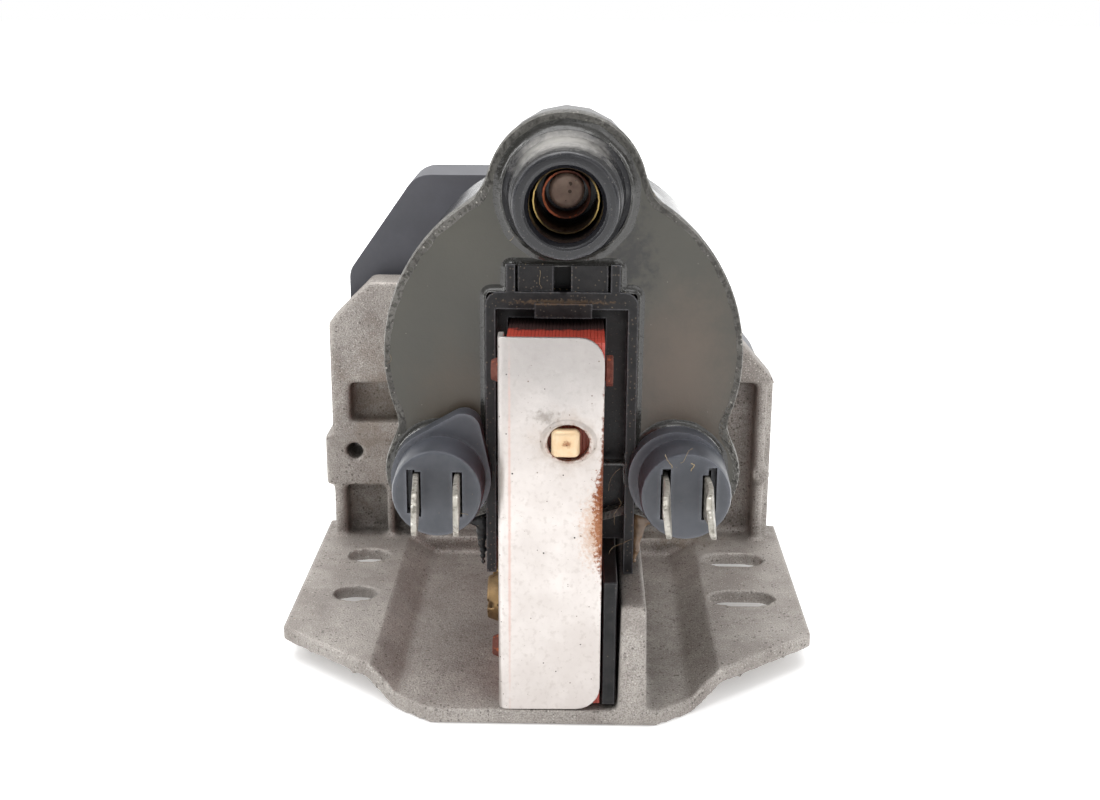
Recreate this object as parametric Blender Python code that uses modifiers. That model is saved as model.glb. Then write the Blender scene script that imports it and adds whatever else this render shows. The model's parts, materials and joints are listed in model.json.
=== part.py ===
"""Ignition coil with its amplifier module, carried on one die-cast bracket.

Sizes are in millimetres on the bench: X runs to the right, Y runs back from the front edge of the bracket,
and Z runs up from the surface that the bracket stands on. The datum empty moves the whole set so that the
origin is the middle of the bracket's four fixing slots, on the surface it stands on.
"""

import math

import bmesh
import bpy
from mathutils import Matrix, Vector

MM = 0.001
GAP = 0.3
MERGE = 0.00001

# Bracket
PLATE_THICKNESS = 2.3
PLATE_HALF_WIDTH = 43.0
WING_LIFT = 3.2
CHANNEL_HALF_WIDTH = 22.1
JOGGLE_RUN = 4.7
FRONT_HALF_WIDTH = 16.9
WING_CORNER_Y = 21.5
JOGGLE_TOP_Y = 7.7
JOGGLE_FOOT_Y = 4.0
SLOT_ROWS = (35.7, 53.1)
SLOT_X = 33.2
SLOT_WIDTH = 5.8
SLOT_LENGTHS = {-1: 7.5, 1: 11.0}
WALL_FRONT = 67.4
WALL_BACK = 71.2
PAD_FRONT = 62.7
WALL_HALF_WIDTH = 40.8
WALL_TOP = 54.3
WALL_CHAMFER = 7.5
WALL_RIGHT_TOP_X = 25.2
WALL_RIGHT_CORNER_Z = 36.5
RIB_X = (11.5, 15.2)
RIB_TOP = 19.2
RIB_DRAFT = 0.35
RIB_BACK = 52.0

# Coil
COIL_X = 2.5
COIL_Z = 53.7
FACE_Y = 13.4
FACE_RADIUS = 26.8
TOWER_X = 2.8
TOWER_Z = 77.8
TOWER_LOBE = 11.9
BOSS_REACH_X = 18.1
BOSS_Z = 35.5
BOSS_LOBE = 8.9
LOBE_FILLET = 3.0
SLAB_BACK = 16.4
CASE_FRONT = SLAB_BACK + GAP
CASE_BACK = 46.0
LOBE_BACK = 31.0
CASE_WALL = 1.5
CASE_INSET = 0.7
DRUM_RADIUS = FACE_RADIUS - CASE_INSET - 0.25
WINDING_FRONT = 20.0
WINDING_BACK = 43.6
CAVITY_RADIUS = 16.8
CAVITY_FRONT = 17.1
WINDING_SIDES = 20

# Low-voltage terminals
BOSS_RADIUS = 6.67
BOSS_FRONT = 2.6
BOSS_FOOT_Y = (9.6, 13.0)
BOSS_BACK = SLAB_BACK - GAP
BLADE_PITCH = 6.0
BLADE_HEIGHT = 6.3
BLADE_THICKNESS = 0.8
BLADE_FRONT = -7.6

# Laminated core
CORE_X = (-5.5, 8.5)
CORE_FRONT = 1.5
CORE_REAR = 58.0
CORE_BOTTOM = 3.0
CORE_TOP = 58.7
YOKE_DEPTH = 10.5
LEG_HEIGHT = 10.8
LOWER_LEG_TOP = 16.0
LEG_ROOM_X = (CORE_X[0] - GAP, CORE_X[1] + GAP)
LEG_ROOM_Z = (CORE_TOP - LEG_HEIGHT - GAP, CORE_TOP + GAP)
CORE_SPLIT = 30.0
SPLIT_HALF = 0.5
RIVET_RADIUS = 1.5
RIVET_HEAD = 2.25
BOLT_RADIUS = 2.5
BOLT_Z = 9.8
BOLT_Y = (25.0, 41.0)

# Moulded channel round the front yoke
CHANNEL_X = (-9.0, 13.5)
CHANNEL_FRONT = 12.3
CHANNEL_BACK = 17.3
CHANNEL_BOTTOM = 19.5
CHANNEL_TOP = 63.6
CHANNEL_WALL = 1.5
CHANNEL_FLOOR = 15.6
CROWN_TOP = 67.7

# Amplifier module behind the wall
MODULE_FRONT = 73.0
MODULE_BACK = 88.0
SOCKET_BACK = 98.0
MODULE_POCKET_X = 25.5
MODULE_POCKET_Z = (17.0, 45.0)
LID_X = 28.0
LID_Z = (14.0, 48.0)
LID_Y = (72.2, 74.4)
SOCKET_HALF_WIDTH = 15.0
SOCKET_Z = (22.0, 38.0)
SOCKET_WALL = 1.4
PIN_COUNT = 7
PIN_PITCH = 3.6
SCREW_TIP = 68.6
MODULE_SCREWS = ((-33.5, 48.0), (31.0, 41.0), (-33.5, 12.5), (33.5, 12.5))

PLANES = {
    "XY": ((0.0, 0.0, 0.0), 2),
    "XZ": ((math.radians(90), 0.0, 0.0), 1),
    "YZ": ((math.radians(90), 0.0, math.radians(90)), 0),
}

FINISHES = {
    "cast": ((0.42, 0.39, 0.36), 0.55, 0.8),
    "resin": ((0.10, 0.095, 0.07), 0.38, 0.0),
    "black": ((0.02, 0.021, 0.024), 0.4, 0.0),
    "terminal": ((0.07, 0.075, 0.09), 0.45, 0.0),
    "lamination": ((0.36, 0.07, 0.04), 0.5, 0.3),
    "steel": ((0.72, 0.70, 0.68), 0.3, 1.0),
    "rust": ((0.28, 0.09, 0.04), 0.8, 0.2),
    "brass": ((0.62, 0.43, 0.17), 0.35, 1.0),
    "copper": ((0.62, 0.25, 0.12), 0.4, 1.0),
    "tin": ((0.62, 0.61, 0.58), 0.4, 1.0),
    "bobbin": ((0.75, 0.70, 0.55), 0.5, 0.0),
    "module": ((0.045, 0.046, 0.055), 0.5, 0.0),
    "aluminium": ((0.70, 0.70, 0.70), 0.4, 1.0),
    "pad": ((0.55, 0.56, 0.58), 0.9, 0.0),
    "ceramic": ((0.80, 0.79, 0.74), 0.6, 0.0),
    "paper": ((0.60, 0.48, 0.30), 0.8, 0.0),
}


def clear_scene():
    for item in list(bpy.data.objects):
        bpy.data.objects.remove(item, do_unlink=True)
    for group in list(bpy.data.collections):
        bpy.data.collections.remove(group)


def new_group(name):
    group = bpy.data.collections.new(name)
    bpy.context.scene.collection.children.link(group)
    return group


def make_material(name):
    colour, roughness, metallic = FINISHES[name]
    material = bpy.data.materials.get(name) or bpy.data.materials.new(name)
    material.use_nodes = True
    surface = material.node_tree.nodes["Principled BSDF"]
    surface.inputs["Base Color"].default_value = (*colour, 1.0)
    surface.inputs["Roughness"].default_value = roughness
    surface.inputs["Metallic"].default_value = metallic
    return material


clear_scene()
PARTS = new_group("ignition_coil")
CUTTERS = new_group("cutters")
DATUM = bpy.data.objects.new("datum", None)
PARTS.objects.link(DATUM)
DATUM.location = (0.0, -sum(SLOT_ROWS) / 2 * MM, 0.0)


def place(name, mesh, finish, location=(0, 0, 0), rotation=(0, 0, 0)):
    """Puts a mesh on the bench: a part if it has a finish, otherwise a tool for a Boolean."""
    item = bpy.data.objects.new(name, mesh)
    item.parent = DATUM
    item.location = Vector(location) * MM
    item.rotation_euler = rotation
    if finish:
        PARTS.objects.link(item)
        mesh.materials.append(make_material(finish))
    else:
        CUTTERS.objects.link(item)
        item.hide_render = True
        item.display_type = "WIRE"
    return item


def mesh_from(name, build):
    mesh = bpy.data.meshes.new(name)
    work = bmesh.new()
    build(work)
    work.to_mesh(mesh)
    work.free()
    return mesh


def box(name, x, y, z, finish=None):
    """A block between the low and high ends given for each axis."""
    sides = [(high - low) * MM for low, high in (x, y, z)]
    middle = [(low + high) / 2 for low, high in (x, y, z)]
    size = Matrix.Diagonal((*sides, 1.0))
    mesh = mesh_from(name, lambda work: bmesh.ops.create_cube(work, size=1.0, matrix=size))
    return place(name, mesh, finish, middle)


def rod(name, start, end, radius, finish=None, end_radius=None, segments=24):
    """A round bar or cone between two points."""
    run = (Vector(end) - Vector(start)) * MM
    turn = run.to_track_quat("Z", "Y").to_euler()

    def build(work):
        bmesh.ops.create_cone(
            work,
            cap_ends=True,
            segments=segments,
            radius1=radius * MM,
            radius2=(end_radius or radius) * MM,
            depth=run.length,
        )

    mesh = mesh_from(name, build)
    mesh.shade_smooth()
    mesh.set_sharp_from_angle(angle=math.radians(40))
    return place(name, mesh, finish, (Vector(start) + Vector(end)) / 2, turn)


def turned(name, x, z, profile, finish=None, closed=False, segments=32):
    """A shape turned about an axis along Y; the profile lists (radius, y) from its front to its back."""
    mesh = bpy.data.meshes.new(name)
    points = [(radius * MM, 0.0, -y * MM) for radius, y in profile]
    edges = [(index, index + 1) for index in range(len(points) - 1)]
    if closed:
        edges.append((len(points) - 1, 0))
    mesh.from_pydata(points, edges, [])
    item = place(name, mesh, finish, (x, 0, z), (math.radians(90), 0, 0))
    spin = item.modifiers.new("Turn", "SCREW")
    spin.axis = "Z"
    spin.angle = math.radians(360)
    spin.steps = segments
    spin.render_steps = segments
    spin.use_merge_vertices = True
    spin.merge_threshold = MERGE
    spin.use_smooth_shade = True
    return item


def ring(name, x, z, outer, inner, front, back, finish=None, segments=32):
    """A plain tube about an axis along Y."""
    profile = [(outer, front), (outer, back), (inner, back), (inner, front)]
    return turned(name, x, z, profile, finish, closed=True, segments=segments)


def slab(name, outline, plane, low, high, finish=None):
    """A flat outline given thickness, from low to high along the third axis."""
    rotation, axis = PLANES[plane]
    curve = bpy.data.curves.new(name, "CURVE")
    curve.dimensions = "2D"
    curve.fill_mode = "BOTH"
    curve.extrude = (high - low) / 2
    spline = curve.splines.new("POLY")
    spline.points.add(len(outline) - 1)
    for point, (u, v) in zip(spline.points, outline):
        point.co = (u, v, 0.0, 1.0)
    spline.use_cyclic_u = True
    flat = bpy.data.objects.new(name + "_outline", curve)
    CUTTERS.objects.link(flat)
    evaluated = flat.evaluated_get(bpy.context.evaluated_depsgraph_get())
    mesh = bpy.data.meshes.new_from_object(evaluated)
    mesh.name = name
    bpy.data.objects.remove(flat)
    work = bmesh.new()
    work.from_mesh(mesh)
    bmesh.ops.remove_doubles(work, verts=work.verts, dist=0.001)
    bmesh.ops.recalc_face_normals(work, faces=work.faces)
    bmesh.ops.scale(work, vec=(MM, MM, MM), verts=work.verts)
    work.to_mesh(mesh)
    work.free()
    mesh.materials.clear()
    location = [0.0, 0.0, 0.0]
    location[axis] = (low + high) / 2
    return place(name, mesh, finish, location, rotation)


def wire(name, points, diameter, finish):
    """A round wire through the given points."""
    curve = bpy.data.curves.new(name, "CURVE")
    curve.dimensions = "3D"
    curve.bevel_depth = diameter / 2 * MM
    curve.bevel_resolution = 2
    curve.use_fill_caps = True
    spline = curve.splines.new("POLY")
    spline.points.add(len(points) - 1)
    for point, place_at in zip(spline.points, points):
        point.co = (*(Vector(place_at) * MM), 1.0)
    item = bpy.data.objects.new(name, curve)
    item.parent = DATUM
    PARTS.objects.link(item)
    curve.materials.append(make_material(finish))
    return item


def combine(target, tool, operation):
    step = target.modifiers.new(tool.name, "BOOLEAN")
    step.operation = operation
    step.solver = "EXACT"
    step.object = tool


def cut(target, *tools):
    for tool in tools:
        combine(target, tool, "DIFFERENCE")


def add(target, *tools):
    for tool in tools:
        combine(target, tool, "UNION")


def bevel(item, width, segments=2, angle=40):
    step = item.modifiers.new("Edges", "BEVEL")
    step.width = width * MM
    step.segments = segments
    step.limit_method = "ANGLE"
    step.angle_limit = math.radians(angle)


def rounded(corners, steps=5):
    """An outline through (u, v, radius) corners, each with its own fillet."""
    points = []
    for index, (u, v, radius) in enumerate(corners):
        here = Vector((u, v))
        if not radius:
            points.append(here)
            continue
        before = (Vector(corners[index - 1][:2]) - here).normalized()
        after = (Vector(corners[(index + 1) % len(corners)][:2]) - here).normalized()
        half = before.angle(after) / 2
        centre = here + (before + after).normalized() * radius / math.sin(half)
        start = (here + before * radius / math.tan(half) - centre).normalized()
        end = (here + after * radius / math.tan(half) - centre).normalized()
        points += [centre + start.slerp(end, step / steps) * radius for step in range(steps + 1)]
    return points


def stadium(x, y, length, width, steps=8):
    """A slot's outline, long along the first axis."""
    radius = width / 2
    reach = length / 2 - radius
    points = []
    for side in (1, -1):
        for step in range(steps + 1):
            angle = math.pi * (step / steps - 0.5)
            across = reach + radius * math.cos(angle)
            points.append((x + side * across, y + side * radius * math.sin(angle)))
    return points


def coil_distance(x, z):
    """Signed distance to the coil's outline: a disc with a lobe for the tower and one for each boss."""
    discs = [
        (COIL_X, COIL_Z, FACE_RADIUS),
        (TOWER_X, TOWER_Z, TOWER_LOBE),
        (COIL_X - BOSS_REACH_X, BOSS_Z, BOSS_LOBE),
        (COIL_X + BOSS_REACH_X, BOSS_Z, BOSS_LOBE),
    ]
    nearest = math.inf
    for centre_x, centre_z, radius in discs:
        distance = math.hypot(x - centre_x, z - centre_z) - radius
        if nearest < math.inf:
            overlap = max(LOBE_FILLET - abs(nearest - distance), 0.0) / LOBE_FILLET
            nearest = min(nearest, distance) - overlap * overlap * LOBE_FILLET / 4
        else:
            nearest = distance
    return nearest


def coil_outline(inset, points=60):
    """The coil's outline, drawn in by the inset, found along rays from the coil's axis."""
    outline = []
    for index in range(points):
        angle = 2 * math.pi * index / points
        low, high = 5.0, 60.0
        for _ in range(30):
            middle = (low + high) / 2
            x = COIL_X + middle * math.sin(angle)
            z = COIL_Z + middle * math.cos(angle)
            if coil_distance(x, z) < -inset:
                low = middle
            else:
                high = middle
        outline.append((COIL_X + low * math.sin(angle), COIL_Z + low * math.cos(angle)))
    return outline


def make_bracket():
    """Die-cast plate with raised wings, a wall with cast pockets, and a rib that carries the core."""
    foot = CHANNEL_HALF_WIDTH
    knee = CHANNEL_HALF_WIDTH + JOGGLE_RUN
    shift = PLATE_THICKNESS * math.tan(math.atan2(WING_LIFT, JOGGLE_RUN) / 2)
    top = WING_LIFT + PLATE_THICKNESS
    upper = [(PLATE_HALF_WIDTH, top), (knee, top), (foot, PLATE_THICKNESS)]
    under = [(foot + shift, 0.0), (knee + shift, WING_LIFT), (PLATE_HALF_WIDTH, WING_LIFT)]
    section = upper + [(-x, z) for x, z in reversed(upper)] + [(-x, z) for x, z in under[::-1]] + under
    bracket = slab("mounting_bracket", section, "XZ", 0.0, WALL_BACK, "cast")

    right = [
        (PLATE_HALF_WIDTH, WALL_BACK + 1, 0),
        (PLATE_HALF_WIDTH, WING_CORNER_Y, 1.5),
        (knee, JOGGLE_TOP_Y, 7.0),
        (foot, JOGGLE_FOOT_Y, 6.0),
        (FRONT_HALF_WIDTH, 0.0, 4.0),
    ]
    left = [(-x, y, radius) for x, y, radius in reversed(right)]
    trim = slab("plate_outline", rounded(right + left, 4), "XY", -1.0, 10.0)
    combine(bracket, trim, "INTERSECT")

    half = WALL_HALF_WIDTH
    wall_corners = [
        (-half, WING_LIFT + 0.8, 0),
        (half, WING_LIFT + 0.8, 0),
        (half, WALL_RIGHT_CORNER_Z, 1.0),
        (WALL_RIGHT_TOP_X, WALL_TOP, 1.0),
        (-half + WALL_CHAMFER, WALL_TOP, 1.0),
        (-half, WALL_TOP - WALL_CHAMFER, 1.0),
    ]
    wall = slab("wall", rounded(wall_corners, 3), "XZ", PAD_FRONT, WALL_BACK)
    recesses = (
        ("recess_right", (16.0, 37.6), (5.5, 36.2)),
        ("recess_middle", (-24.0, 14.0), (5.5, 36.2)),
        ("recess_left_high", (-37.4, -26.0), (27.9, 35.4)),
        ("recess_left_low", (-38.6, -31.0), (5.5, 15.6)),
        ("recess_left_inner", (-29.7, -26.0), (5.5, 15.6)),
    )
    for name, x, z in recesses:
        cut(wall, box(name, x, (PAD_FRONT - 1, WALL_FRONT), z))
    cut(wall, box("step_right", (39.5, 45.0), (PAD_FRONT - 1, 65.2), (5.5, 36.2)))
    add(bracket, wall)
    foot_reach = foot + 2.1
    foot_y = (PAD_FRONT + 4.8, WALL_BACK - 0.02)
    sill_y = (PAD_FRONT + 0.1, WALL_FRONT + 1.0)
    block_y = (PAD_FRONT - 0.2, WALL_BACK - 0.4)
    add(bracket, box("wall_foot", (-foot_reach, foot_reach), foot_y, (1.1, 8.0)))
    add(bracket, box("wall_sill", (-foot_reach + 0.1, foot_reach - 0.1), sill_y, (1.2, 5.3)))
    add(bracket, box("block_left", (-42.2, -30.2), block_y, (15.8, 25.4)))
    add(bracket, rod("boss_right", (38.9, 61.9, 18.7), (38.9, 66.0, 18.7), 1.7, segments=16))

    rib_section = [
        (RIB_X[0] - RIB_DRAFT, 1.5),
        (RIB_X[1] + RIB_DRAFT, 1.5),
        (RIB_X[1], RIB_TOP),
        (RIB_X[0], RIB_TOP),
    ]
    add(bracket, slab("rib", rib_section, "XZ", 0.02, RIB_BACK))

    for side, length in SLOT_LENGTHS.items():
        for row, y in enumerate(SLOT_ROWS):
            outline = stadium(side * SLOT_X, y, length, SLOT_WIDTH, 5)
            cut(bracket, slab(f"slot_{side}_{row}", outline, "XY", 0.0, 12.0))
    cut(bracket, rod("hole_left", (-36.7, 60.0, 22.4), (-36.7, 80.0, 22.4), 1.55, segments=16))
    for index, (x, z) in enumerate(MODULE_SCREWS):
        cut(bracket, rod(f"screw_hole_{index}", (x, SCREW_TIP - GAP, z), (x, 80.0, z), 2.0, segments=12))
    for index, y in enumerate(BOLT_Y):
        ends = ((5.0, y, BOLT_Z), (20.0, y, BOLT_Z))
        cut(bracket, rod(f"bolt_hole_{index}", *ends, BOLT_RADIUS + GAP, segments=16))
    nubs = ((-41.0, 22.5), (-38.0, 19.5), (-30.0, 12.3), (41.0, 22.5), (38.4, 20.0), (30.6, 13.0))
    for index, (x, y) in enumerate(nubs):
        ends = ((x, y, 2.0), (x, y, 3.6))
        add(bracket, rod(f"nub_{index}", *ends, 0.6, end_radius=0.8, segments=8))


def make_core():
    """Two C-shaped lamination stacks, the gap shims between them, and the rivets and bolts through them."""
    leg_bottom = CORE_TOP - LEG_HEIGHT
    front_outline = [
        (CORE_FRONT, CORE_BOTTOM),
        (CORE_SPLIT - SPLIT_HALF, CORE_BOTTOM),
        (CORE_SPLIT - SPLIT_HALF, LOWER_LEG_TOP),
        (CORE_FRONT + YOKE_DEPTH, LOWER_LEG_TOP),
        (CORE_FRONT + YOKE_DEPTH, leg_bottom),
        (CORE_SPLIT - SPLIT_HALF, leg_bottom),
        (CORE_SPLIT - SPLIT_HALF, CORE_TOP),
        (CORE_FRONT, CORE_TOP),
    ]
    rear_outline = [
        (CORE_REAR, CORE_BOTTOM),
        (CORE_SPLIT + SPLIT_HALF, CORE_BOTTOM),
        (CORE_SPLIT + SPLIT_HALF, LOWER_LEG_TOP),
        (CORE_REAR - YOKE_DEPTH, LOWER_LEG_TOP),
        (CORE_REAR - YOKE_DEPTH, leg_bottom),
        (CORE_SPLIT + SPLIT_HALF, leg_bottom),
        (CORE_SPLIT + SPLIT_HALF, CORE_TOP),
        (CORE_REAR, CORE_TOP),
    ]
    front = slab("core_front_stack", front_outline, "YZ", *CORE_X, "lamination")
    rear = slab("core_rear_stack", rear_outline, "YZ", *CORE_X, "lamination")
    shim_y = (CORE_SPLIT - SPLIT_HALF + GAP, CORE_SPLIT + SPLIT_HALF - GAP)
    box("gap_shim_upper", CORE_X, shim_y, (leg_bottom, CORE_TOP), "paper")
    box("gap_shim_lower", CORE_X, shim_y, (CORE_BOTTOM, LOWER_LEG_TOP), "paper")

    middle = CORE_FRONT + YOKE_DEPTH / 2
    rivet_places = {
        "front_upper": (front, middle, CORE_TOP - LEG_HEIGHT / 2),
        "front_lower": (front, middle, BOLT_Z),
        "rear_upper": (rear, CORE_REAR - YOKE_DEPTH / 2, CORE_TOP - LEG_HEIGHT / 2),
        "rear_lower": (rear, CORE_REAR - YOKE_DEPTH / 2, BOLT_Z),
    }
    for name, (stack, y, z) in rivet_places.items():
        hole_radius = RIVET_RADIUS + GAP
        cut(stack, rod(f"rivet_hole_{name}", (-20, y, z), (20, y, z), hole_radius, segments=16))
        right_reach = 1.1 if "upper" in name else 0.0
        make_rivet(f"core_rivet_{name}", y, z, right_reach)
    for index, (name, y) in enumerate(zip(("front", "rear"), BOLT_Y)):
        stack = (front, rear)[index]
        bore = BOLT_RADIUS + GAP
        hole = rod(f"core_bolt_hole_{name}", (-20, y, BOLT_Z), (20, y, BOLT_Z), bore, segments=16)
        cut(stack, hole)
        make_bolt(f"core_bolt_{name}", y)
    spacer_x = (CORE_X[1] + GAP, RIB_X[0] - RIB_DRAFT - GAP)
    spacer = box("core_spacer", spacer_x, (1.0, RIB_BACK - 2), (3.0, 22.7), "black")
    for y in BOLT_Y:
        hole = rod("spacer_hole", (5, y, BOLT_Z), (13, y, BOLT_Z), BOLT_RADIUS + GAP, segments=16)
        cut(spacer, hole)


def make_rivet(name, y, z, right_reach):
    """A rivet across the stack: a domed head on the left, a short flat end on the right."""
    left = CORE_X[0] - GAP
    right = CORE_X[1] + max(right_reach, 0.0)
    shank = rod(name, (left - 0.1, y, z), (right, y, z), RIVET_RADIUS, "rust", segments=16)
    head = ((left - 2.0, y, z), (left, y, z))
    add(shank, rod(name + "_head", *head, 1.4, end_radius=RIVET_HEAD, segments=20))
    if right_reach:
        foot = ((CORE_X[1] + GAP, y, z), (right + 0.2, y, z))
        add(shank, rod(name + "_foot", *foot, RIVET_HEAD, segments=20))


def make_bolt(name, y):
    """A pan-head bolt from the left, through the core and the spacer, into the bracket's rib."""
    left = CORE_X[0] - GAP
    ends = ((left - 0.5, y, BOLT_Z), (RIB_X[1] + 0.2, y, BOLT_Z))
    head = ((left - 3.8, y, BOLT_Z), (left, y, BOLT_Z))
    shank = rod(name, *ends, BOLT_RADIUS, "brass", segments=16)
    add(shank, rod(name + "_head", *head, 3.4, end_radius=4.75, segments=24))
    cut(shank, box(name + "_slot", (left - 5, left - 2.8), (y - 6, y + 6), (BOLT_Z - 0.5, BOLT_Z + 0.5)))


def make_strap():
    """Sheet-steel strap down the front yoke, folded back along its left side and held by a square stud."""
    thickness = 0.8
    left = CORE_X[0] - GAP - thickness
    right = CORE_X[1]
    front = CORE_FRONT - GAP - thickness
    back = front + 3.6
    bend = 1.3
    fold = [
        (left, back, 0),
        (left, front, bend),
        (right + 1, front, 0),
        (right + 1, front + thickness, 0),
        (left + thickness, front + thickness, bend - thickness),
        (left + thickness, back, 0),
    ]
    strap = slab("core_strap", rounded(fold, 4), "XY", 1.0, 61.0, "steel")
    outline = [(left - 1, 2.3, 0), (right, 2.5, 3.6), (right, 59.6, 3.6), (left - 1, 59.6, 0)]
    combine(strap, slab("strap_outline", rounded(outline, 6), "XZ", front - 1, back + 1), "INTERSECT")
    pin_x, pin_z = 3.1, 44.4
    hole_x = pin_x + 0.4
    boss_front = front - 0.45
    profile = [(0, boss_front), (3.6, boss_front), (4.5, 0.7), (0, 0.7)]
    boss = turned("strap_boss", hole_x, pin_z, profile)
    boss.scale = (1.0, 0.8, 1.0)
    add(strap, boss)
    hole = rod("stud_hole", (hole_x, -5, pin_z), (hole_x, 1.4, pin_z), 3.0, segments=24)
    hole.scale = (1.0, 0.9, 1.0)
    cut(strap, hole)
    half = 2.05
    stud_y = (front - 1.3, CORE_FRONT - 0.1)
    stud_x, stud_z = (pin_x - half, pin_x + half), (pin_z - half, pin_z + half)
    stud = box("strap_stud", stud_x, stud_y, stud_z, "brass")
    bevel(stud, 0.8, 3)


def make_channel():
    """Black moulding that frames the front yoke, with a floor behind it and two latch pads above."""
    x, wall = CHANNEL_X, CHANNEL_WALL
    frame_corners = [
        (x[0], CHANNEL_BOTTOM, 0),
        (x[1], CHANNEL_BOTTOM, 0),
        (x[1], CHANNEL_TOP, 2.0),
        (x[0], CHANNEL_TOP, 2.0),
    ]
    channel = slab("core_channel", rounded(frame_corners, 4), "XZ", CHANNEL_FRONT, CHANNEL_BACK, "black")
    inside = (x[0] + wall, x[1] - wall)
    hollow = box("channel_hollow", inside, (CHANNEL_FRONT - 1, CHANNEL_FLOOR), (CHANNEL_BOTTOM - 1, 61.0))
    through = (CHANNEL_FRONT - 1, CHANNEL_BACK + 1)
    foot_gap = box("channel_foot_gap", inside, through, (CHANNEL_BOTTOM - 1, 24.0))
    window = box("channel_window", LEG_ROOM_X, (10.0, CHANNEL_BACK + 1), LEG_ROOM_Z)
    cut(channel, hollow, foot_gap, window)
    crown_y = (CHANNEL_FRONT + 0.02, CHANNEL_BACK - 0.02)
    crown = box("channel_crown", (-5.9, 10.8), crown_y, (62.0, CROWN_TOP))
    cut(crown, box("crown_hollow", (-4.6, 9.4), (CHANNEL_FRONT - 1, 15.6), (63.2, CROWN_TOP + 1)))
    for name, x in (("pad_left", (-4.2, 1.0)), ("pad_right", (3.6, 9.0))):
        add(crown, box(name, x, (CHANNEL_FRONT + 0.5, 16.0), (62.5, CROWN_TOP - 0.1)))
    add(channel, crown)
    add(channel, box("channel_tab", (-1.7, 6.7), (CHANNEL_FRONT - 0.6, 13.4), (59.8, 62.0)))
    return channel


def make_tower():
    """High-voltage tower with its socket, and the sleeve, cup and pin inside it."""
    mouth, floor, end = 1.3, 18.6, 21.0
    profile = [
        (5.85, mouth),
        (7.15, mouth),
        (7.45, mouth + 0.3),
        (7.75, 6.2),
        (7.75, 6.9),
        (8.1, 7.3),
        (8.45, 11.6),
        (9.6, FACE_Y - GAP),
        (9.6, SLAB_BACK),
        (6.2, SLAB_BACK),
        (6.2, end),
        (1.6, end),
        (1.6, floor),
        (5.1, floor),
        (5.15, mouth + 0.9),
    ]
    turned("hv_tower", TOWER_X, TOWER_Z, profile, "black", closed=True)
    foot = floor - GAP
    ring("hv_terminal_sleeve", TOWER_X, TOWER_Z, 4.8, 4.5, 7.0, foot, "brass", segments=24)
    ring("hv_terminal_cup", TOWER_X, TOWER_Z, 3.55, 3.2, 12.9, foot, "copper", segments=24)
    head, shank = 2.65, 1.3
    pin = [
        (0.0, 16.5),
        (head - 0.35, 16.5),
        (head, 16.9),
        (head, foot),
        (shank, foot),
        (shank, end + 2.0),
        (0.0, end + 2.0),
    ]
    turned("hv_contact_pin", TOWER_X, TOWER_Z, pin, "rust", segments=20)


def teardrop(x, z, radius, tip_x, tip_z, tip_radius, steps=14):
    """The outline of a disc drawn out to a smaller round tip."""
    run = Vector((tip_x - x, tip_z - z))
    lean = math.acos((radius - tip_radius) / run.length)
    heading = math.atan2(run.y, run.x)
    points = []
    for step in range(steps + 1):
        angle = heading - lean + 2 * lean * step / steps
        points.append((tip_x + tip_radius * math.cos(angle), tip_z + tip_radius * math.sin(angle)))
    for step in range(2 * steps + 1):
        angle = heading + lean + 2 * (math.pi - lean) * step / (2 * steps)
        points.append((x + radius * math.cos(angle), z + radius * math.sin(angle)))
    return points


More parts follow.
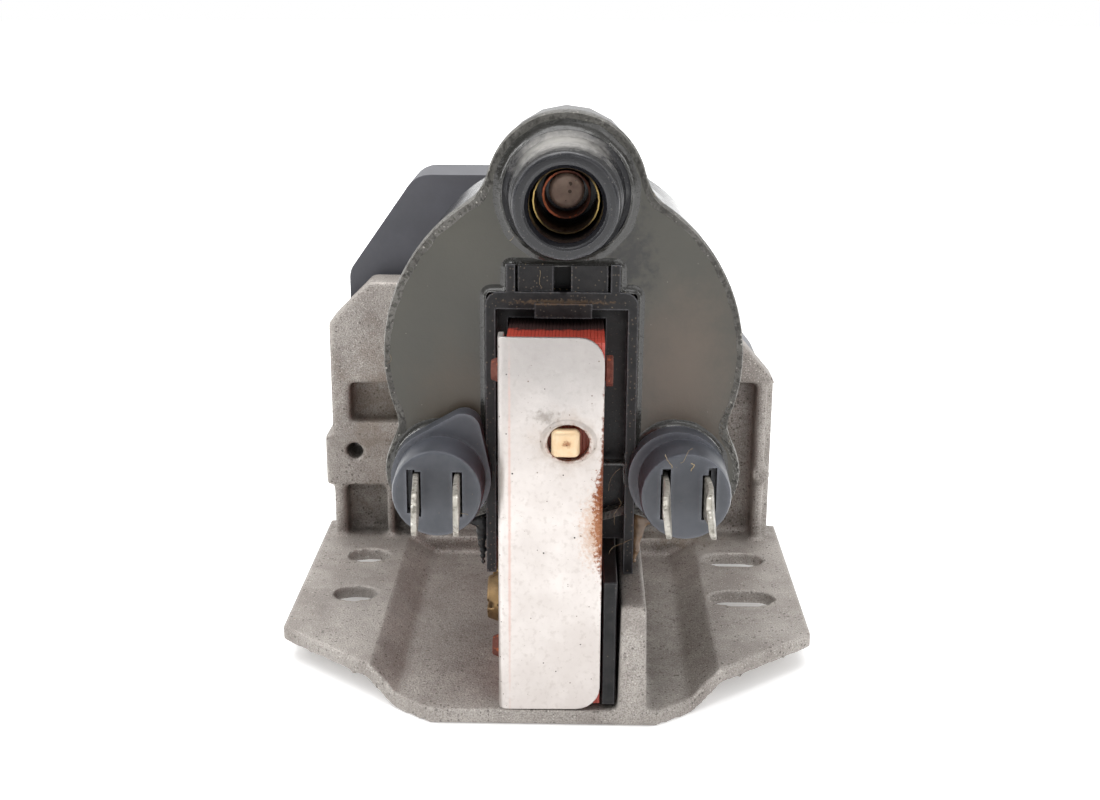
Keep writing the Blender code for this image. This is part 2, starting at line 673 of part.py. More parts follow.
def make_terminals(resin):
    """Two low-voltage bosses, each with a pair of blades and a lead to the primary winding."""
    for side, word in ((-1, "left"), (1, "right")):
        x = COIL_X + side * BOSS_REACH_X
        front = BOSS_FRONT
        profile = [
            (0.0, front),
            (BOSS_RADIUS - 0.7, front),
            (BOSS_RADIUS - 0.2, front + 0.25),
            (BOSS_RADIUS, front + 0.9),
            (BOSS_RADIUS + 0.1, BOSS_BACK),
            (0.0, BOSS_BACK),
        ]
        boss = turned(f"terminal_boss_{word}", x, BOSS_Z, profile, "terminal")
        if side < 0:
            outline = teardrop(x, BOSS_Z, 7.5, x + 3.4, BOSS_Z + 7.6, 2.6)
            foot = slab(f"boss_foot_{word}", outline, "XZ", *BOSS_FOOT_Y)
        else:
            foot_x, foot_z = x - 0.9, BOSS_Z + 0.4
            ends = [(foot_x, y, foot_z) for y in BOSS_FOOT_Y]
            foot = rod(f"boss_foot_{word}", *ends, 7.3, segments=32)
        add(boss, foot)
        room_x = (CHANNEL_X[0] - GAP, CHANNEL_X[1] + GAP)
        cut(boss, box(f"boss_channel_room_{word}", room_x, (CHANNEL_FRONT - GAP, 20.0), (20.0, 60.0)))
        for column, shift in (("inner", -side * BLADE_PITCH / 2), ("outer", side * BLADE_PITCH / 2)):
            blade_x = x + shift
            half = BLADE_THICKNESS / 2
            room = half + GAP
            slot_z = (BOSS_Z - BLADE_HEIGHT / 2 - GAP, BOSS_Z + BLADE_HEIGHT / 2 + GAP)
            slot_x = (blade_x - room, blade_x + room)
            cut(boss, box(f"blade_slot_{word}_{column}", slot_x, (0, 20), slot_z))
            tail = BOSS_BACK - 0.1
            low, high = BOSS_Z - BLADE_HEIGHT / 2, BOSS_Z + BLADE_HEIGHT / 2
            outline = [
                (tail, low),
                (tail, high),
                (BLADE_FRONT + 1.6, high),
                (BLADE_FRONT, high - 1.3),
                (BLADE_FRONT, low + 1.3),
                (BLADE_FRONT + 1.6, low),
            ]
            slab(f"terminal_blade_{word}_{column}", outline, "YZ", blade_x - half, blade_x + half, "tin")
        inner_x = x - side * BLADE_PITCH / 2
        towards = Vector((COIL_X - inner_x, COIL_Z - BOSS_Z)).normalized()
        start = Vector((inner_x, 16.9, BOSS_Z))
        over = Vector((inner_x + towards.x * 2.0, 18.7, BOSS_Z + towards.y * 2.0))
        reach = math.hypot(COIL_X - inner_x, COIL_Z - BOSS_Z) - 11.9
        near = Vector((inner_x + towards.x * reach, 18.9, BOSS_Z + towards.y * reach))
        end = near + Vector((0.0, 1.0, 0.0))
        wire(f"primary_lead_{word}", [start, start + Vector((0, 1.2, 0)), over, near, end], 0.8, "copper")
        for index, (a, b) in enumerate(((start - Vector((0, 1, 0)), over), (over, near))):
            stretch = (b - a).normalized()
            cut(resin, rod(f"lead_way_{word}_{index}", a - stretch, b + stretch, 1.6, segments=12))


def drum(name, depth, front):
    """A disc on the coil's axis: the case's long barrel, or what lies the given depth inside it."""
    ends = ((COIL_X, front, COIL_Z), (COIL_X, CASE_BACK - depth, COIL_Z))
    return rod(name, *ends, DRUM_RADIUS - depth, segments=60)


def make_coil():
    """Plastic case, potting resin, the two bobbins and their windings."""
    case = slab("coil_case", coil_outline(CASE_INSET), "XZ", CASE_FRONT, LOBE_BACK, "black")
    add(case, drum("case_drum", 0.0, CASE_FRONT + 1.0))
    add(case, slab("case_flange", coil_outline(0.3), "XZ", CASE_FRONT + 0.02, CASE_FRONT + 1.6))
    inner = coil_outline(CASE_INSET + CASE_WALL)
    cut(case, slab("case_inside", inner, "XZ", CASE_FRONT - 1, LOBE_BACK - CASE_WALL))
    cut(case, drum("case_bore", CASE_WALL, CASE_FRONT + 1.0))
    cut(case, box("case_window", LEG_ROOM_X, (40, 50), LEG_ROOM_Z))
    room_x = (CHANNEL_X[0] - GAP, CHANNEL_X[1] + GAP)
    cut(case, box("case_channel_room", room_x, (10, CHANNEL_BACK + GAP), (18.0, 45.0)))

    resin = slab("potting_resin", coil_outline(0.0), "XZ", FACE_Y, SLAB_BACK, "resin")
    skirt_outline = coil_outline(CASE_INSET + CASE_WALL + GAP)
    add(resin, slab("resin_skirt", skirt_outline, "XZ", SLAB_BACK - 1, LOBE_BACK - CASE_WALL - GAP))
    add(resin, drum("resin_drum", CASE_WALL + GAP, SLAB_BACK + 2.0))
    cut(resin, rod("resin_cavity", (COIL_X, CAVITY_FRONT, COIL_Z), (COIL_X, 50, COIL_Z), CAVITY_RADIUS))
    room_corners = [
        (room_x[0], 10.0, 0),
        (room_x[1], 10.0, 0),
        (room_x[1], CHANNEL_TOP + GAP, 2.0),
        (room_x[0], CHANNEL_TOP + GAP, 2.0),
    ]
    cut(resin, slab("resin_channel_room", rounded(room_corners, 4), "XZ", 10, CHANNEL_BACK + GAP))
    cut(resin, box("resin_crown_room", (-6.2, 11.1), (10, CHANNEL_BACK + GAP), (60, CROWN_TOP + GAP)))
    tower_room = [
        (0, 10),
        (9.9, 10),
        (9.9, SLAB_BACK + GAP),
        (6.5, SLAB_BACK + GAP),
        (6.5, 25.0),
        (0, 25.0),
    ]
    cut(resin, turned("resin_tower_room", TOWER_X, TOWER_Z, tower_room))
    for side, word in ((-1, "left"), (1, "right")):
        x = COIL_X + side * BOSS_REACH_X
        hole_back = SLAB_BACK + GAP
        hole_radius = BOSS_RADIUS + 0.4
        ends = ((x, 10, BOSS_Z), (x, hole_back, BOSS_Z))
        cut(resin, rod(f"resin_boss_hole_{word}", *ends, hole_radius, segments=32))

    front, back = WINDING_FRONT, WINDING_BACK
    primary = [
        (12.8, front),
        (12.8, front + 0.8),
        (10.9, front + 0.8),
        (10.9, back - 0.8),
        (12.8, back - 0.8),
        (12.8, back),
        (10.2, back),
        (10.2, front),
    ]
    turned("primary_bobbin", COIL_X, COIL_Z, primary, "bobbin", closed=True, segments=WINDING_SIDES)
    turns_y = (front + 1.1, back - 1.1)
    ring("primary_winding", COIL_X, COIL_Z, 12.6, 11.2, *turns_y, "copper", segments=WINDING_SIDES)
    make_secondary(resin)


def make_secondary(resin):
    """A bobbin with six chambers, so that no two neighbouring turns are far apart in voltage."""
    chambers = 6
    flange = 0.7
    pitch = (WINDING_BACK - WINDING_FRONT - flange) / chambers
    outside, floor, bore = 16.4, 13.7, 13.1
    profile = []
    for index in range(chambers):
        start = WINDING_FRONT + index * pitch
        inner_face = start + flange
        profile += [(outside, start), (outside, inner_face), (floor, inner_face), (floor, start + pitch)]
        y = (start + flange + GAP, start + pitch - GAP)
        name = f"secondary_winding_{index + 1}"
        ring(name, COIL_X, COIL_Z, 15.9, floor + GAP, *y, "copper", segments=WINDING_SIDES)
    profile += [(outside, WINDING_BACK - flange), (outside, WINDING_BACK)]
    profile += [(bore, WINDING_BACK), (bore, WINDING_FRONT)]
    turned("secondary_bobbin", COIL_X, COIL_Z, profile, "bobbin", closed=True, segments=WINDING_SIDES)
    top = COIL_Z + 16.1
    lead_y = WINDING_FRONT + flange + GAP + 1.2
    points = [
        (TOWER_X, 23.4, TOWER_Z),
        (TOWER_X, 24.2, TOWER_Z - 1.0),
        (TOWER_X, 24.2, TOWER_Z - 5.0),
        (COIL_X, lead_y, top),
    ]
    wire("hv_lead", points, 0.7, "copper")
    cut(resin, rod("hv_lead_way", points[-2], points[-1], 1.1, segments=12))


def make_module():
    """Amplifier module behind the wall: housing, lid, board and its parts, socket pins and screws."""
    corners = [
        (-38.2, 7.0, 3.0),
        (39.4, 7.0, 3.0),
        (39.4, 37.1, 4.0),
        (10.7, 72.5, 5.0),
        (-25.5, 72.5, 5.0),
        (-38.2, 54.5, 4.0),
    ]
    outline = rounded(corners, 4)
    housing = slab("module_housing", outline, "XZ", MODULE_FRONT, MODULE_BACK, "module")
    pocket_y = (MODULE_FRONT - 1, MODULE_BACK - 2.5)
    cut(housing, box("module_pocket", (-MODULE_POCKET_X, MODULE_POCKET_X), pocket_y, MODULE_POCKET_Z))
    rebate_x = (-LID_X - GAP, LID_X + GAP)
    rebate_z = (LID_Z[0] - GAP, LID_Z[1] + GAP)
    cut(housing, box("module_rebate", rebate_x, (MODULE_FRONT - 1, LID_Y[1] + GAP), rebate_z))
    socket_x = (-SOCKET_HALF_WIDTH, SOCKET_HALF_WIDTH)
    add(housing, box("socket_shroud", socket_x, (MODULE_BACK - 1, SOCKET_BACK), SOCKET_Z))
    wall = SOCKET_WALL
    socket_in_x = (socket_x[0] + wall, socket_x[1] - wall)
    socket_in_z = (SOCKET_Z[0] + wall, SOCKET_Z[1] - wall)
    cut(housing, box("socket_hollow", socket_in_x, (MODULE_BACK + 0.5, SOCKET_BACK + 1), socket_in_z))

    box("module_lid", (-LID_X, LID_X), LID_Y, LID_Z, "aluminium")
    box("thermal_pad", (-LID_X, LID_X), (WALL_BACK + GAP, LID_Y[0] - GAP), LID_Z, "pad")
    board_y = LID_Y[1] + GAP
    box("circuit_board", (-23.0, 23.0), (board_y, board_y + 0.8), (19.0, 43.0), "ceramic")
    part_y = board_y + 0.8 + GAP
    box("power_transistor", (-20.0, -10.0), (part_y, part_y + 3.2), (26.0, 38.0), "black")
    box("driver_chip", (-2.0, 8.0), (part_y, part_y + 1.6), (28.0, 36.0), "black")
    rod("noise_capacitor", (16.0, part_y, 38.0), (16.0, part_y + 6.0, 38.0), 3.0, "paper", segments=20)
    middle_z = sum(SOCKET_Z) / 2
    for index in range(PIN_COUNT):
        x = (index - (PIN_COUNT - 1) / 2) * PIN_PITCH
        pin_x = (x - 0.4, x + 0.4)
        pin_z = (middle_z - 0.9, middle_z + 0.9)
        way = box(f"pin_way_{index}", (x - 0.7, x + 0.7), (80, 90), (middle_z - 1.2, middle_z + 1.2))
        cut(housing, way)
        box(f"socket_pin_{index + 1}", pin_x, (part_y + 7.0, SOCKET_BACK - 2.5), pin_z, "tin")
    for index, (x, z) in enumerate(MODULE_SCREWS):
        ends = ((x, MODULE_FRONT - 1, z), (x, MODULE_BACK + 1, z))
        way = rod(f"module_screw_way_{index}", *ends, 2.3, segments=12)
        sink = rod(f"module_screw_sink_{index}", (x, 84.0, z), (x, MODULE_BACK + 1, z), 3.9, segments=20)
        cut(housing, way, sink)
        shank = ((x, SCREW_TIP, z), (x, 84.6, z))
        head = ((x, 84.3, z), (x, 87.2, z))
        screw = rod(f"module_screw_{index + 1}", *shank, 1.7, "steel", segments=12)
        add(screw, rod(f"module_screw_head_{index}", *head, 3.5, end_radius=2.9, segments=20))
        slot_z = (z - 0.45, z + 0.45)
        cut(screw, box(f"module_screw_slot_{index}", (x - 5, x + 5), (86.2, 89.0), slot_z))


make_bracket()
make_core()
make_strap()
make_channel()
make_coil()
make_tower()
make_terminals(bpy.data.objects["potting_resin"])
make_module()
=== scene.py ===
# %% [markdown]
# # A used ignition coil, dressed over its CAD frame
# The frame holds every sub-part at its true size and place. This lesson adds what a CAD model leaves
# out: rounded cast edges, the broken rim of the potting resin, laminated core iron, bent tabs, rust,
# dust and the finishes. Everything is in metres in one frame, so nothing is ever fitted by eye.

# %% Load the frame
import json
import math
import bmesh
import bpy
from mathutils import Matrix, Vector, noise

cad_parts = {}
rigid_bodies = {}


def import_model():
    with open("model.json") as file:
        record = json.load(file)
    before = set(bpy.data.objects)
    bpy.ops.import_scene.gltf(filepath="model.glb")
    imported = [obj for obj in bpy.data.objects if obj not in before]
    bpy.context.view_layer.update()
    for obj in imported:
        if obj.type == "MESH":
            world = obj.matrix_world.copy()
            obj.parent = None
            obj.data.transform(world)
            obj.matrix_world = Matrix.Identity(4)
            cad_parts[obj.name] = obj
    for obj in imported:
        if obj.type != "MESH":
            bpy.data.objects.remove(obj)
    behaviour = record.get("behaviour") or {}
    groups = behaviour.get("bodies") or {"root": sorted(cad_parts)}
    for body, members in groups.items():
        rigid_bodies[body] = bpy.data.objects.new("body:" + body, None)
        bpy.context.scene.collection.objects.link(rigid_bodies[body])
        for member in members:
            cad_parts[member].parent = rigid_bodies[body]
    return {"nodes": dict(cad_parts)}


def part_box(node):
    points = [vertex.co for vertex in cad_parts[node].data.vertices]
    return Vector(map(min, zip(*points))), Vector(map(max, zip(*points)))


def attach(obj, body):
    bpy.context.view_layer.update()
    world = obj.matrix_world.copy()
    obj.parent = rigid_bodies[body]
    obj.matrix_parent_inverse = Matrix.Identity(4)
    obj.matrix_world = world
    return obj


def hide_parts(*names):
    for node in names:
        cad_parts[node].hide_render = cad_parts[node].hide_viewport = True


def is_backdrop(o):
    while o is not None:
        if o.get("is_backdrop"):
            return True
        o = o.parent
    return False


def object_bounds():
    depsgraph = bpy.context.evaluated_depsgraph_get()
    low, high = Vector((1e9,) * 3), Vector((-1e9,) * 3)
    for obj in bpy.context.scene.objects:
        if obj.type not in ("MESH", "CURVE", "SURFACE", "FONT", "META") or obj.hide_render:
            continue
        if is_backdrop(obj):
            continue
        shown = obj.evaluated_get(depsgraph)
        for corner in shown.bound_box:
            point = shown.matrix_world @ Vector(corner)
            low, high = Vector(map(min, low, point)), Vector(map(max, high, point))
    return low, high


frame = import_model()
cad_low, cad_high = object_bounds()
print("CAD box in mm:", [round(side * 1000, 1) for side in cad_high - cad_low])

# %% [markdown]
# ## Bench millimetres
# On the bench the coil is measured in millimetres: X to the right, Y back from the bracket's front
# edge and Z up from the table. `at` turns a bench place into the frame's metres, and `span` gives a
# CAD node's box back in bench millimetres, so new pieces take their places from the frame.

# %% Bench coordinates
MM = 0.001
FRONT_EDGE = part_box("mounting_bracket")[0].y


def at(x, y, z):
    return Vector((x * MM, y * MM + FRONT_EDGE, z * MM))


def span(name):
    low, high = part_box(name)
    shift = Vector((0, FRONT_EDGE, 0))
    return (low - shift) / MM, (high - shift) / MM


def link(thing):
    """Puts an object into the scene, once."""
    held = bpy.context.scene.collection.objects
    if thing.name not in held:
        held.link(thing)


print("front edge of the bracket at Y", round(FRONT_EDGE, 4), "m")

# %% [markdown]
# ## Camera and light
# The coil is seen from the front, a little above the tower, with a longish lens. It stands in a light
# tent: a white floor, a white surround, one large soft box above, a strip on each side and a small box
# in front. A tent puts a broad soft reflection on every edge, which makes black plastic readable.

# %% Camera
CAMERA_PLACE = (4.85, -202.6, 109.2)
LOOKS_DOWN, TURNED_LEFT, ROLLED = (math.radians(angle) for angle in (16.09, -1.13, -0.33))
SENSOR, LENS = 36, 49.0909
camera_data = bpy.data.cameras.new("camera")
camera_data.sensor_width = SENSOR
camera_data.lens = LENS
camera_data.clip_start = 0.01
camera = bpy.data.objects.new("camera", camera_data)
link(camera)
heading = Vector((math.sin(TURNED_LEFT), math.cos(TURNED_LEFT), 0))
forward = math.cos(LOOKS_DOWN) * heading - math.sin(LOOKS_DOWN) * Vector((0, 0, 1))
level = Vector((heading.y, -heading.x, 0))
down = forward.cross(level)
right = math.cos(ROLLED) * level + math.sin(ROLLED) * down
drop = -math.sin(ROLLED) * level + math.cos(ROLLED) * down
facing = Matrix((right, -drop, -forward)).transposed().to_4x4()
camera.matrix_world = Matrix.Translation(at(*CAMERA_PLACE)) @ facing
bpy.context.scene.camera = camera
print("camera is", round((camera.location - at(0, 0, 40)).length, 3), "m from the bracket's front edge")

# %% Soft boxes
AIM = at(0, 40, 40)
SOFT_BOXES = {
    "top_box": ((-0.10, 0.10, 0.75), (0.9, 0.8), 6.0),
    "left_strip": ((-0.80, -0.20, 0.50), (0.12, 0.7), 2.2),
    "right_strip": ((0.82, -0.20, 0.45), (0.10, 0.6), 1.3),
    "front_box": ((0.30, -0.90, 0.35), (0.5, 0.4), 1.2),
}
for name, (place, size, power) in SOFT_BOXES.items():
    box_light = bpy.data.lights.new(name, "AREA")
    box_light.shape = "RECTANGLE"
    box_light.size, box_light.size_y = size
    box_light.energy = power
    lamp = bpy.data.objects.new(name, box_light)
    lamp.location = place
    lamp.rotation_euler = (AIM - Vector(place)).to_track_quat("-Z", "Y").to_euler()
    link(lamp)
bpy.context.scene.view_settings.view_transform = "Standard"
print("lit by", len(SOFT_BOXES), "soft boxes")

# %% [markdown]
# ## A small vocabulary for shaders
# Every finish is painted in layers, the way a prop maker would: a base coat, then grain, then painted shade
# and dirt in the corners, bare metal and some painted highlights on the edges, and dust on what faces up.
# `Coat` keeps the colour, roughness and height painted so far. Effects that many finishes share are shader
# node groups.

# %% Node helpers


def socket_of(tree, value, target):
    """Connects a socket, or sets a plain value, on a target input."""
    if isinstance(value, bpy.types.NodeSocket):
        tree.links.new(value, target)
    elif hasattr(target.default_value, "__len__") and len(target.default_value) == 4 and len(value) == 3:
        target.default_value = (*value, 1)
    else:
        target.default_value = value


def add_node(tree, kind, inputs=None, **settings):
    """A shader node with its settings made and its inputs set or linked."""
    made = tree.nodes.new("ShaderNode" + kind)
    for key, value in settings.items():
        setattr(made, key, value)
    for key, value in (inputs or {}).items():
        socket_of(tree, value, made.inputs[key])
    return made


def maths(tree, operation, first, second=0.0, clamp=False):
    return add_node(tree, "Math", {0: first, 1: second}, operation=operation, use_clamp=clamp).outputs[0]


def vectors(tree, operation, first, second=(0.0, 0.0, 0.0)):
    return add_node(tree, "VectorMath", {0: first, 1: second}, operation=operation).outputs


def texture(tree, kind, size, **inputs):
    """A texture in the piece's own space whose features are about `size` millimetres wide."""
    inputs["Vector"] = add_node(tree, "TexCoord").outputs["Object"]
    inputs["Scale"] = maths(tree, "DIVIDE", 1000.0, size)
    return add_node(tree, "Tex" + kind, inputs).outputs


def ramp(tree, value, low, high):
    """0 below low, 1 above high, smooth between."""
    inputs = {"Value": value, "From Min": low, "From Max": high}
    return add_node(tree, "MapRange", inputs, interpolation_type="SMOOTHSTEP").outputs["Result"]


def new_effect(name, inputs, outputs):
    """A shader node group with named sockets; returns the tree and its input and output nodes."""
    tree = bpy.data.node_groups.new(name, "ShaderNodeTree")
    for key, value in inputs.items():
        kind = "NodeSocketVector" if isinstance(value, tuple) else "NodeSocketFloat"
        made = tree.interface.new_socket(key, in_out="INPUT", socket_type=kind)
        made.default_value = value
    for key in outputs:
        tree.interface.new_socket(key, in_out="OUTPUT", socket_type="NodeSocketFloat")
    return tree, tree.nodes.new("NodeGroupInput").outputs, tree.nodes.new("NodeGroupOutput").inputs


print("node helpers ready")

# %% [markdown]
# The tent is open towards the camera, so light from the front is weaker than from above and behind.
# Seen directly it is plain white; what lights the coil is shaded by direction instead.

# %% Light tent
TENT_FRONT, TENT_BACK, TENT_TOP = 0.30, 0.85, 0.95
world = bpy.data.worlds.new("tent")
world.use_nodes = True
tent = world.node_tree
direction = add_node(tent, "SeparateXYZ", {"Vector": add_node(tent, "TexCoord").outputs["Generated"]})
depth_light = maths(tent, "MULTIPLY", ramp(tent, direction.outputs["Y"], -0.9, 0.7), TENT_BACK - TENT_FRONT)
height_light = maths(tent, "MULTIPLY", ramp(tent, direction.outputs["Z"], 0.1, 0.9), TENT_TOP)
around = maths(tent, "MAXIMUM", maths(tent, "ADD", depth_light, TENT_FRONT), height_light)
seen = add_node(tent, "LightPath").outputs["Is Camera Ray"]
tent.links.new(maths(tent, "MAXIMUM", around, seen), tent.nodes["Background"].inputs["Strength"])
tent.nodes["Background"].inputs["Color"].default_value = (1, 1, 1, 1)
bpy.context.scene.world = world
print("tent strength from", TENT_FRONT, "in front to", TENT_TOP, "overhead")

# %% [markdown]
# ### Shared effects
# - *Grain* is fine noise on top of broad clouds, for castings, moulded plastic and lacquer.
# - *Edge Wear And Highlight* finds edges by comparing the true normal with one that has been rounded off;
#   it paints rubbed edges, and on the tower and the terminal blocks a painted highlight.
# - *Crevice Shade And Dirt* is painted shade in corners, from ambient occlusion, broken up by noise; on the
#   stud its rust colour stands for oxide in the hollow.
# - *Settled Dust* lies on what faces up.
# - *Specks* are sparse round spots, one cell in a few, for pits and dust motes.
# - *Patch* is a soft box with a ragged border, to place a stain, and also painted shade and shadow.

# %% Grain, edge wear and highlights, crevice shade and dirt
tree, given, result = new_effect("Grain", {"Size": 0.3, "Cloud": 8.0}, ("Fine", "Cloud"))
fine = texture(tree, "Noise", given["Size"], Detail=3.0, Roughness=0.6)
cloud = texture(tree, "Noise", given["Cloud"], Detail=5.0, Roughness=0.6)
tree.links.new(fine["Fac"], result["Fine"])
tree.links.new(ramp(tree, cloud["Fac"], 0.3, 0.7), result["Cloud"])

# lighter edges: rubbed wear on most finishes, a painted highlight on the tower and the terminal blocks
tree, given, result = new_effect("Edge Wear And Highlight", {"Width": 0.3, "Break": 0.5, "Size": 0.5}, ("Mask",))
rounded = add_node(tree, "Bevel", {"Radius": maths(tree, "MULTIPLY", given["Width"], MM)}, samples=6)
true_normal = add_node(tree, "NewGeometry").outputs["Normal"]
agreement = vectors(tree, "DOT_PRODUCT", rounded.outputs["Normal"], true_normal)["Value"]
turned_away = ramp(tree, maths(tree, "SUBTRACT", 1.0, agreement), 0.015, 0.16)
chips = texture(tree, "Noise", given["Size"], Detail=4.0, Roughness=0.7)
gaps = maths(tree, "MULTIPLY", ramp(tree, chips["Fac"], 0.35, 0.62), given["Break"])
tree.links.new(maths(tree, "MULTIPLY", turned_away, maths(tree, "SUBTRACT", 1.0, gaps)), result["Mask"])

# painted shade: what ambient occlusion finds shut in is darkened, in the colour each finish gives
tree, given, result = new_effect("Crevice Shade And Dirt", {"Reach": 3.0, "Size": 1.5}, ("Mask",))
reach = maths(tree, "MULTIPLY", given["Reach"], MM)
open_sky = add_node(tree, "AmbientOcclusion", {"Distance": reach}, samples=6, only_local=True)
shut_in = ramp(tree, maths(tree, "SUBTRACT", 1.0, open_sky.outputs["AO"]), 0.15, 0.8)
blot = texture(tree, "Noise", given["Size"], Detail=4.0)
uneven = maths(tree, "ADD", ramp(tree, blot["Fac"], 0.3, 0.7), 0.35)
tree.links.new(maths(tree, "MULTIPLY", shut_in, uneven, clamp=True), result["Mask"])
print("made", [group.name for group in bpy.data.node_groups])

# %% Dust, specks and patches
tree, given, result = new_effect("Settled Dust", {"Size": 0.4, "Cover": 0.5}, ("Mask",))
upward = add_node(tree, "SeparateXYZ", {"Vector": add_node(tree, "NewGeometry").outputs["Normal"]})
lying = ramp(tree, upward.outputs["Z"], 0.1, 0.95)
motes = texture(tree, "Noise", given["Size"], Detail=6.0, Roughness=0.75)
bare = maths(tree, "SUBTRACT", 0.78, maths(tree, "MULTIPLY", given["Cover"], 0.45))
patchy = ramp(tree, motes["Fac"], bare, maths(tree, "ADD", bare, 0.18))
tree.links.new(maths(tree, "MULTIPLY", lying, patchy), result["Mask"])

tree, given, result = new_effect("Specks", {"Spacing": 2.0, "Share": 0.3, "Radius": 0.2}, ("Mask",))
cells = texture(tree, "Voronoi", given["Spacing"])
lot = add_node(tree, "SeparateColor", {"Color": cells["Color"]})
chosen = maths(tree, "LESS_THAN", lot.outputs["Red"], given["Share"])
own_radius = maths(tree, "MULTIPLY", given["Radius"], maths(tree, "ADD", lot.outputs["Green"], 0.25))
inside = ramp(tree, maths(tree, "SUBTRACT", own_radius, cells["Distance"]), 0.0, 0.06)
tree.links.new(maths(tree, "MULTIPLY", inside, chosen), result["Mask"])

patch_inputs = {"Centre": (0.0, 0.0, 0.0), "Half": (1.0, 1.0, 1.0), "Soft": 0.5, "Ragged": 0.5, "Size": 1.0}
tree, given, result = new_effect("Patch", patch_inputs, ("Mask",))
away = vectors(tree, "SUBTRACT", add_node(tree, "TexCoord").outputs["Object"], given["Centre"])[0]
reached = vectors(tree, "LENGTH", vectors(tree, "DIVIDE", away, given["Half"])[0])["Value"]
border = texture(tree, "Noise", given["Size"], Detail=5.0, Roughness=0.7)
swing = maths(tree, "MULTIPLY", maths(tree, "SUBTRACT", border["Fac"], 0.5), given["Ragged"])
depth = maths(tree, "ADD", maths(tree, "SUBTRACT", 1.0, reached), maths(tree, "MULTIPLY", swing, 4.0))
tree.links.new(ramp(tree, depth, 0.0, given["Soft"]), result["Mask"])
print("made", len(bpy.data.node_groups), "shared effects")

# %% [markdown]
# ### Painting in layers
# `Coat` starts a material. Each `paint` mixes a colour and a roughness over what is there, through a
# mask; `raise_by` adds to the height that feeds the one Bump node. Constant values such as the coat
# weight are set on the shader itself.

# %% The Coat painter


def srgb(red, green, blue):
    """A colour as a paint chart gives it, 0 to 255, made linear."""
    return tuple(((part / 255 + 0.055) / 1.055) ** 2.4 for part in (red, green, blue))


class Coat:
    def __init__(self, name, colour, roughness, metallic=0.0, **constants):
        self.material = bpy.data.materials.new(name)
        self.material.use_nodes = True
        self.tree = self.material.node_tree
        self.shader = self.tree.nodes["Principled BSDF"]
        self.shader.inputs["Metallic"].default_value = metallic
        for key, value in constants.items():
            self.shader.inputs[key.replace("_", " ")].default_value = value
        base = add_node(self.tree, "RGB")
        base.outputs[0].default_value = (*srgb(*colour), 1)
        even = add_node(self.tree, "Value")
        even.outputs[0].default_value = roughness
        self.colour, self.roughness, self.height = base.outputs[0], even.outputs[0], None

    def effect(self, name, output="Mask", **values):
        return add_node(self.tree, "Group", values, node_tree=bpy.data.node_groups[name]).outputs[output]

    def paint(self, mask, colour, roughness=None, strength=1.0):
        cover = maths(self.tree, "MULTIPLY", mask, strength, clamp=True)
        mixed = {0: cover, 6: self.colour, 7: (*srgb(*colour), 1)}
        self.colour = add_node(self.tree, "Mix", mixed, data_type="RGBA").outputs[2]
        if roughness is not None:
            mixed = {0: cover, 2: self.roughness, 3: roughness}
            self.roughness = add_node(self.tree, "Mix", mixed, data_type="FLOAT").outputs[0]

    def clouds(self, size, cloud, *finish):
        self.paint(self.effect("Grain", "Cloud", Size=size, Cloud=cloud), *finish)

    def mottle(self, size, low, high, *finish):
        """Blots where the fine grain lies between two levels."""
        self.paint(ramp(self.tree, self.effect("Grain", "Fine", Size=size), low, high), *finish)

    def specks(self, spacing, share, radius, *finish):
        self.paint(self.effect("Specks", Spacing=spacing, Share=share, Radius=radius), *finish)

    # paints shade into the corners that ambient occlusion finds shut in
    def dirt(self, reach, size, *finish):
        self.paint(self.effect("Crevice Shade And Dirt", Reach=reach, Size=size), *finish)

    # lighter edges: rubbed wear on most finishes, a painted highlight on the tower and the terminal blocks
    def wear(self, width, gaps, size, *finish):
        self.paint(self.effect("Edge Wear And Highlight", Width=width, Break=gaps, Size=size), *finish)

    def dust(self, size, cover, *finish):
        self.paint(self.effect("Settled Dust", Size=size, Cover=cover), *finish)

    def patch(self, centre, half, colour, roughness, soft, ragged, size, strength):
        """A patch of colour, for a stain and also for painted shade and shadow: centre and half widths in
        bench millimetres.
        """
        box = {"Centre": tuple(at(*centre)), "Half": tuple(side * MM for side in half)}
        mask = self.effect("Patch", **box, Soft=soft, Ragged=ragged, Size=size)
        self.paint(mask, colour, roughness, strength)

    def raise_by(self, mask, amount):
        step = maths(self.tree, "MULTIPLY", mask, amount)
        self.height = maths(self.tree, "ADD", self.height, step) if self.height else step

    def sand(self, size, amount):
        self.raise_by(self.effect("Grain", "Fine", Size=size), amount)

    def swell(self, size, cloud, amount):
        self.raise_by(self.effect("Grain", "Cloud", Size=size, Cloud=cloud), amount)

    def done(self):
        self.tree.links.new(self.colour, self.shader.inputs["Base Color"])
        self.tree.links.new(self.roughness, self.shader.inputs["Roughness"])
        if self.height:
            relief = add_node(self.tree, "Bump", {"Height": self.height, "Strength": 1.0, "Distance": MM})
            self.tree.links.new(relief.outputs["Normal"], self.shader.inputs["Normal"])
        return self.material


def moulded(name, colour, roughness, grain=0.5, dust=0.4, **constants):
    """A plastic moulding: faint grain, rubbed edges, dust on top."""
    coat = Coat(name, colour, roughness, **constants)
    darker = tuple(part * 0.75 for part in colour)
    lighter = tuple(min(part * 1.35 + 16, 255) for part in colour)
    coat.clouds(0.25, 6.0, darker, None, 0.6)
    coat.wear(0.35, 0.6, 0.6, lighter, roughness + 0.1, 0.55)
    coat.dust(0.5, dust, (150, 146, 140), 0.8, 0.45)
    coat.sand(0.2, 0.02 * grain)
    return coat


print("Coat ready")

# %% [markdown]
# ## Finishes
# One finish for each material slot of the record. The colours are those of a coil that has been in an
# engine bay: sandy grey casting, yellowed resin, dusty black plastic, spotted plating and rust.

# %% Cast aluminium


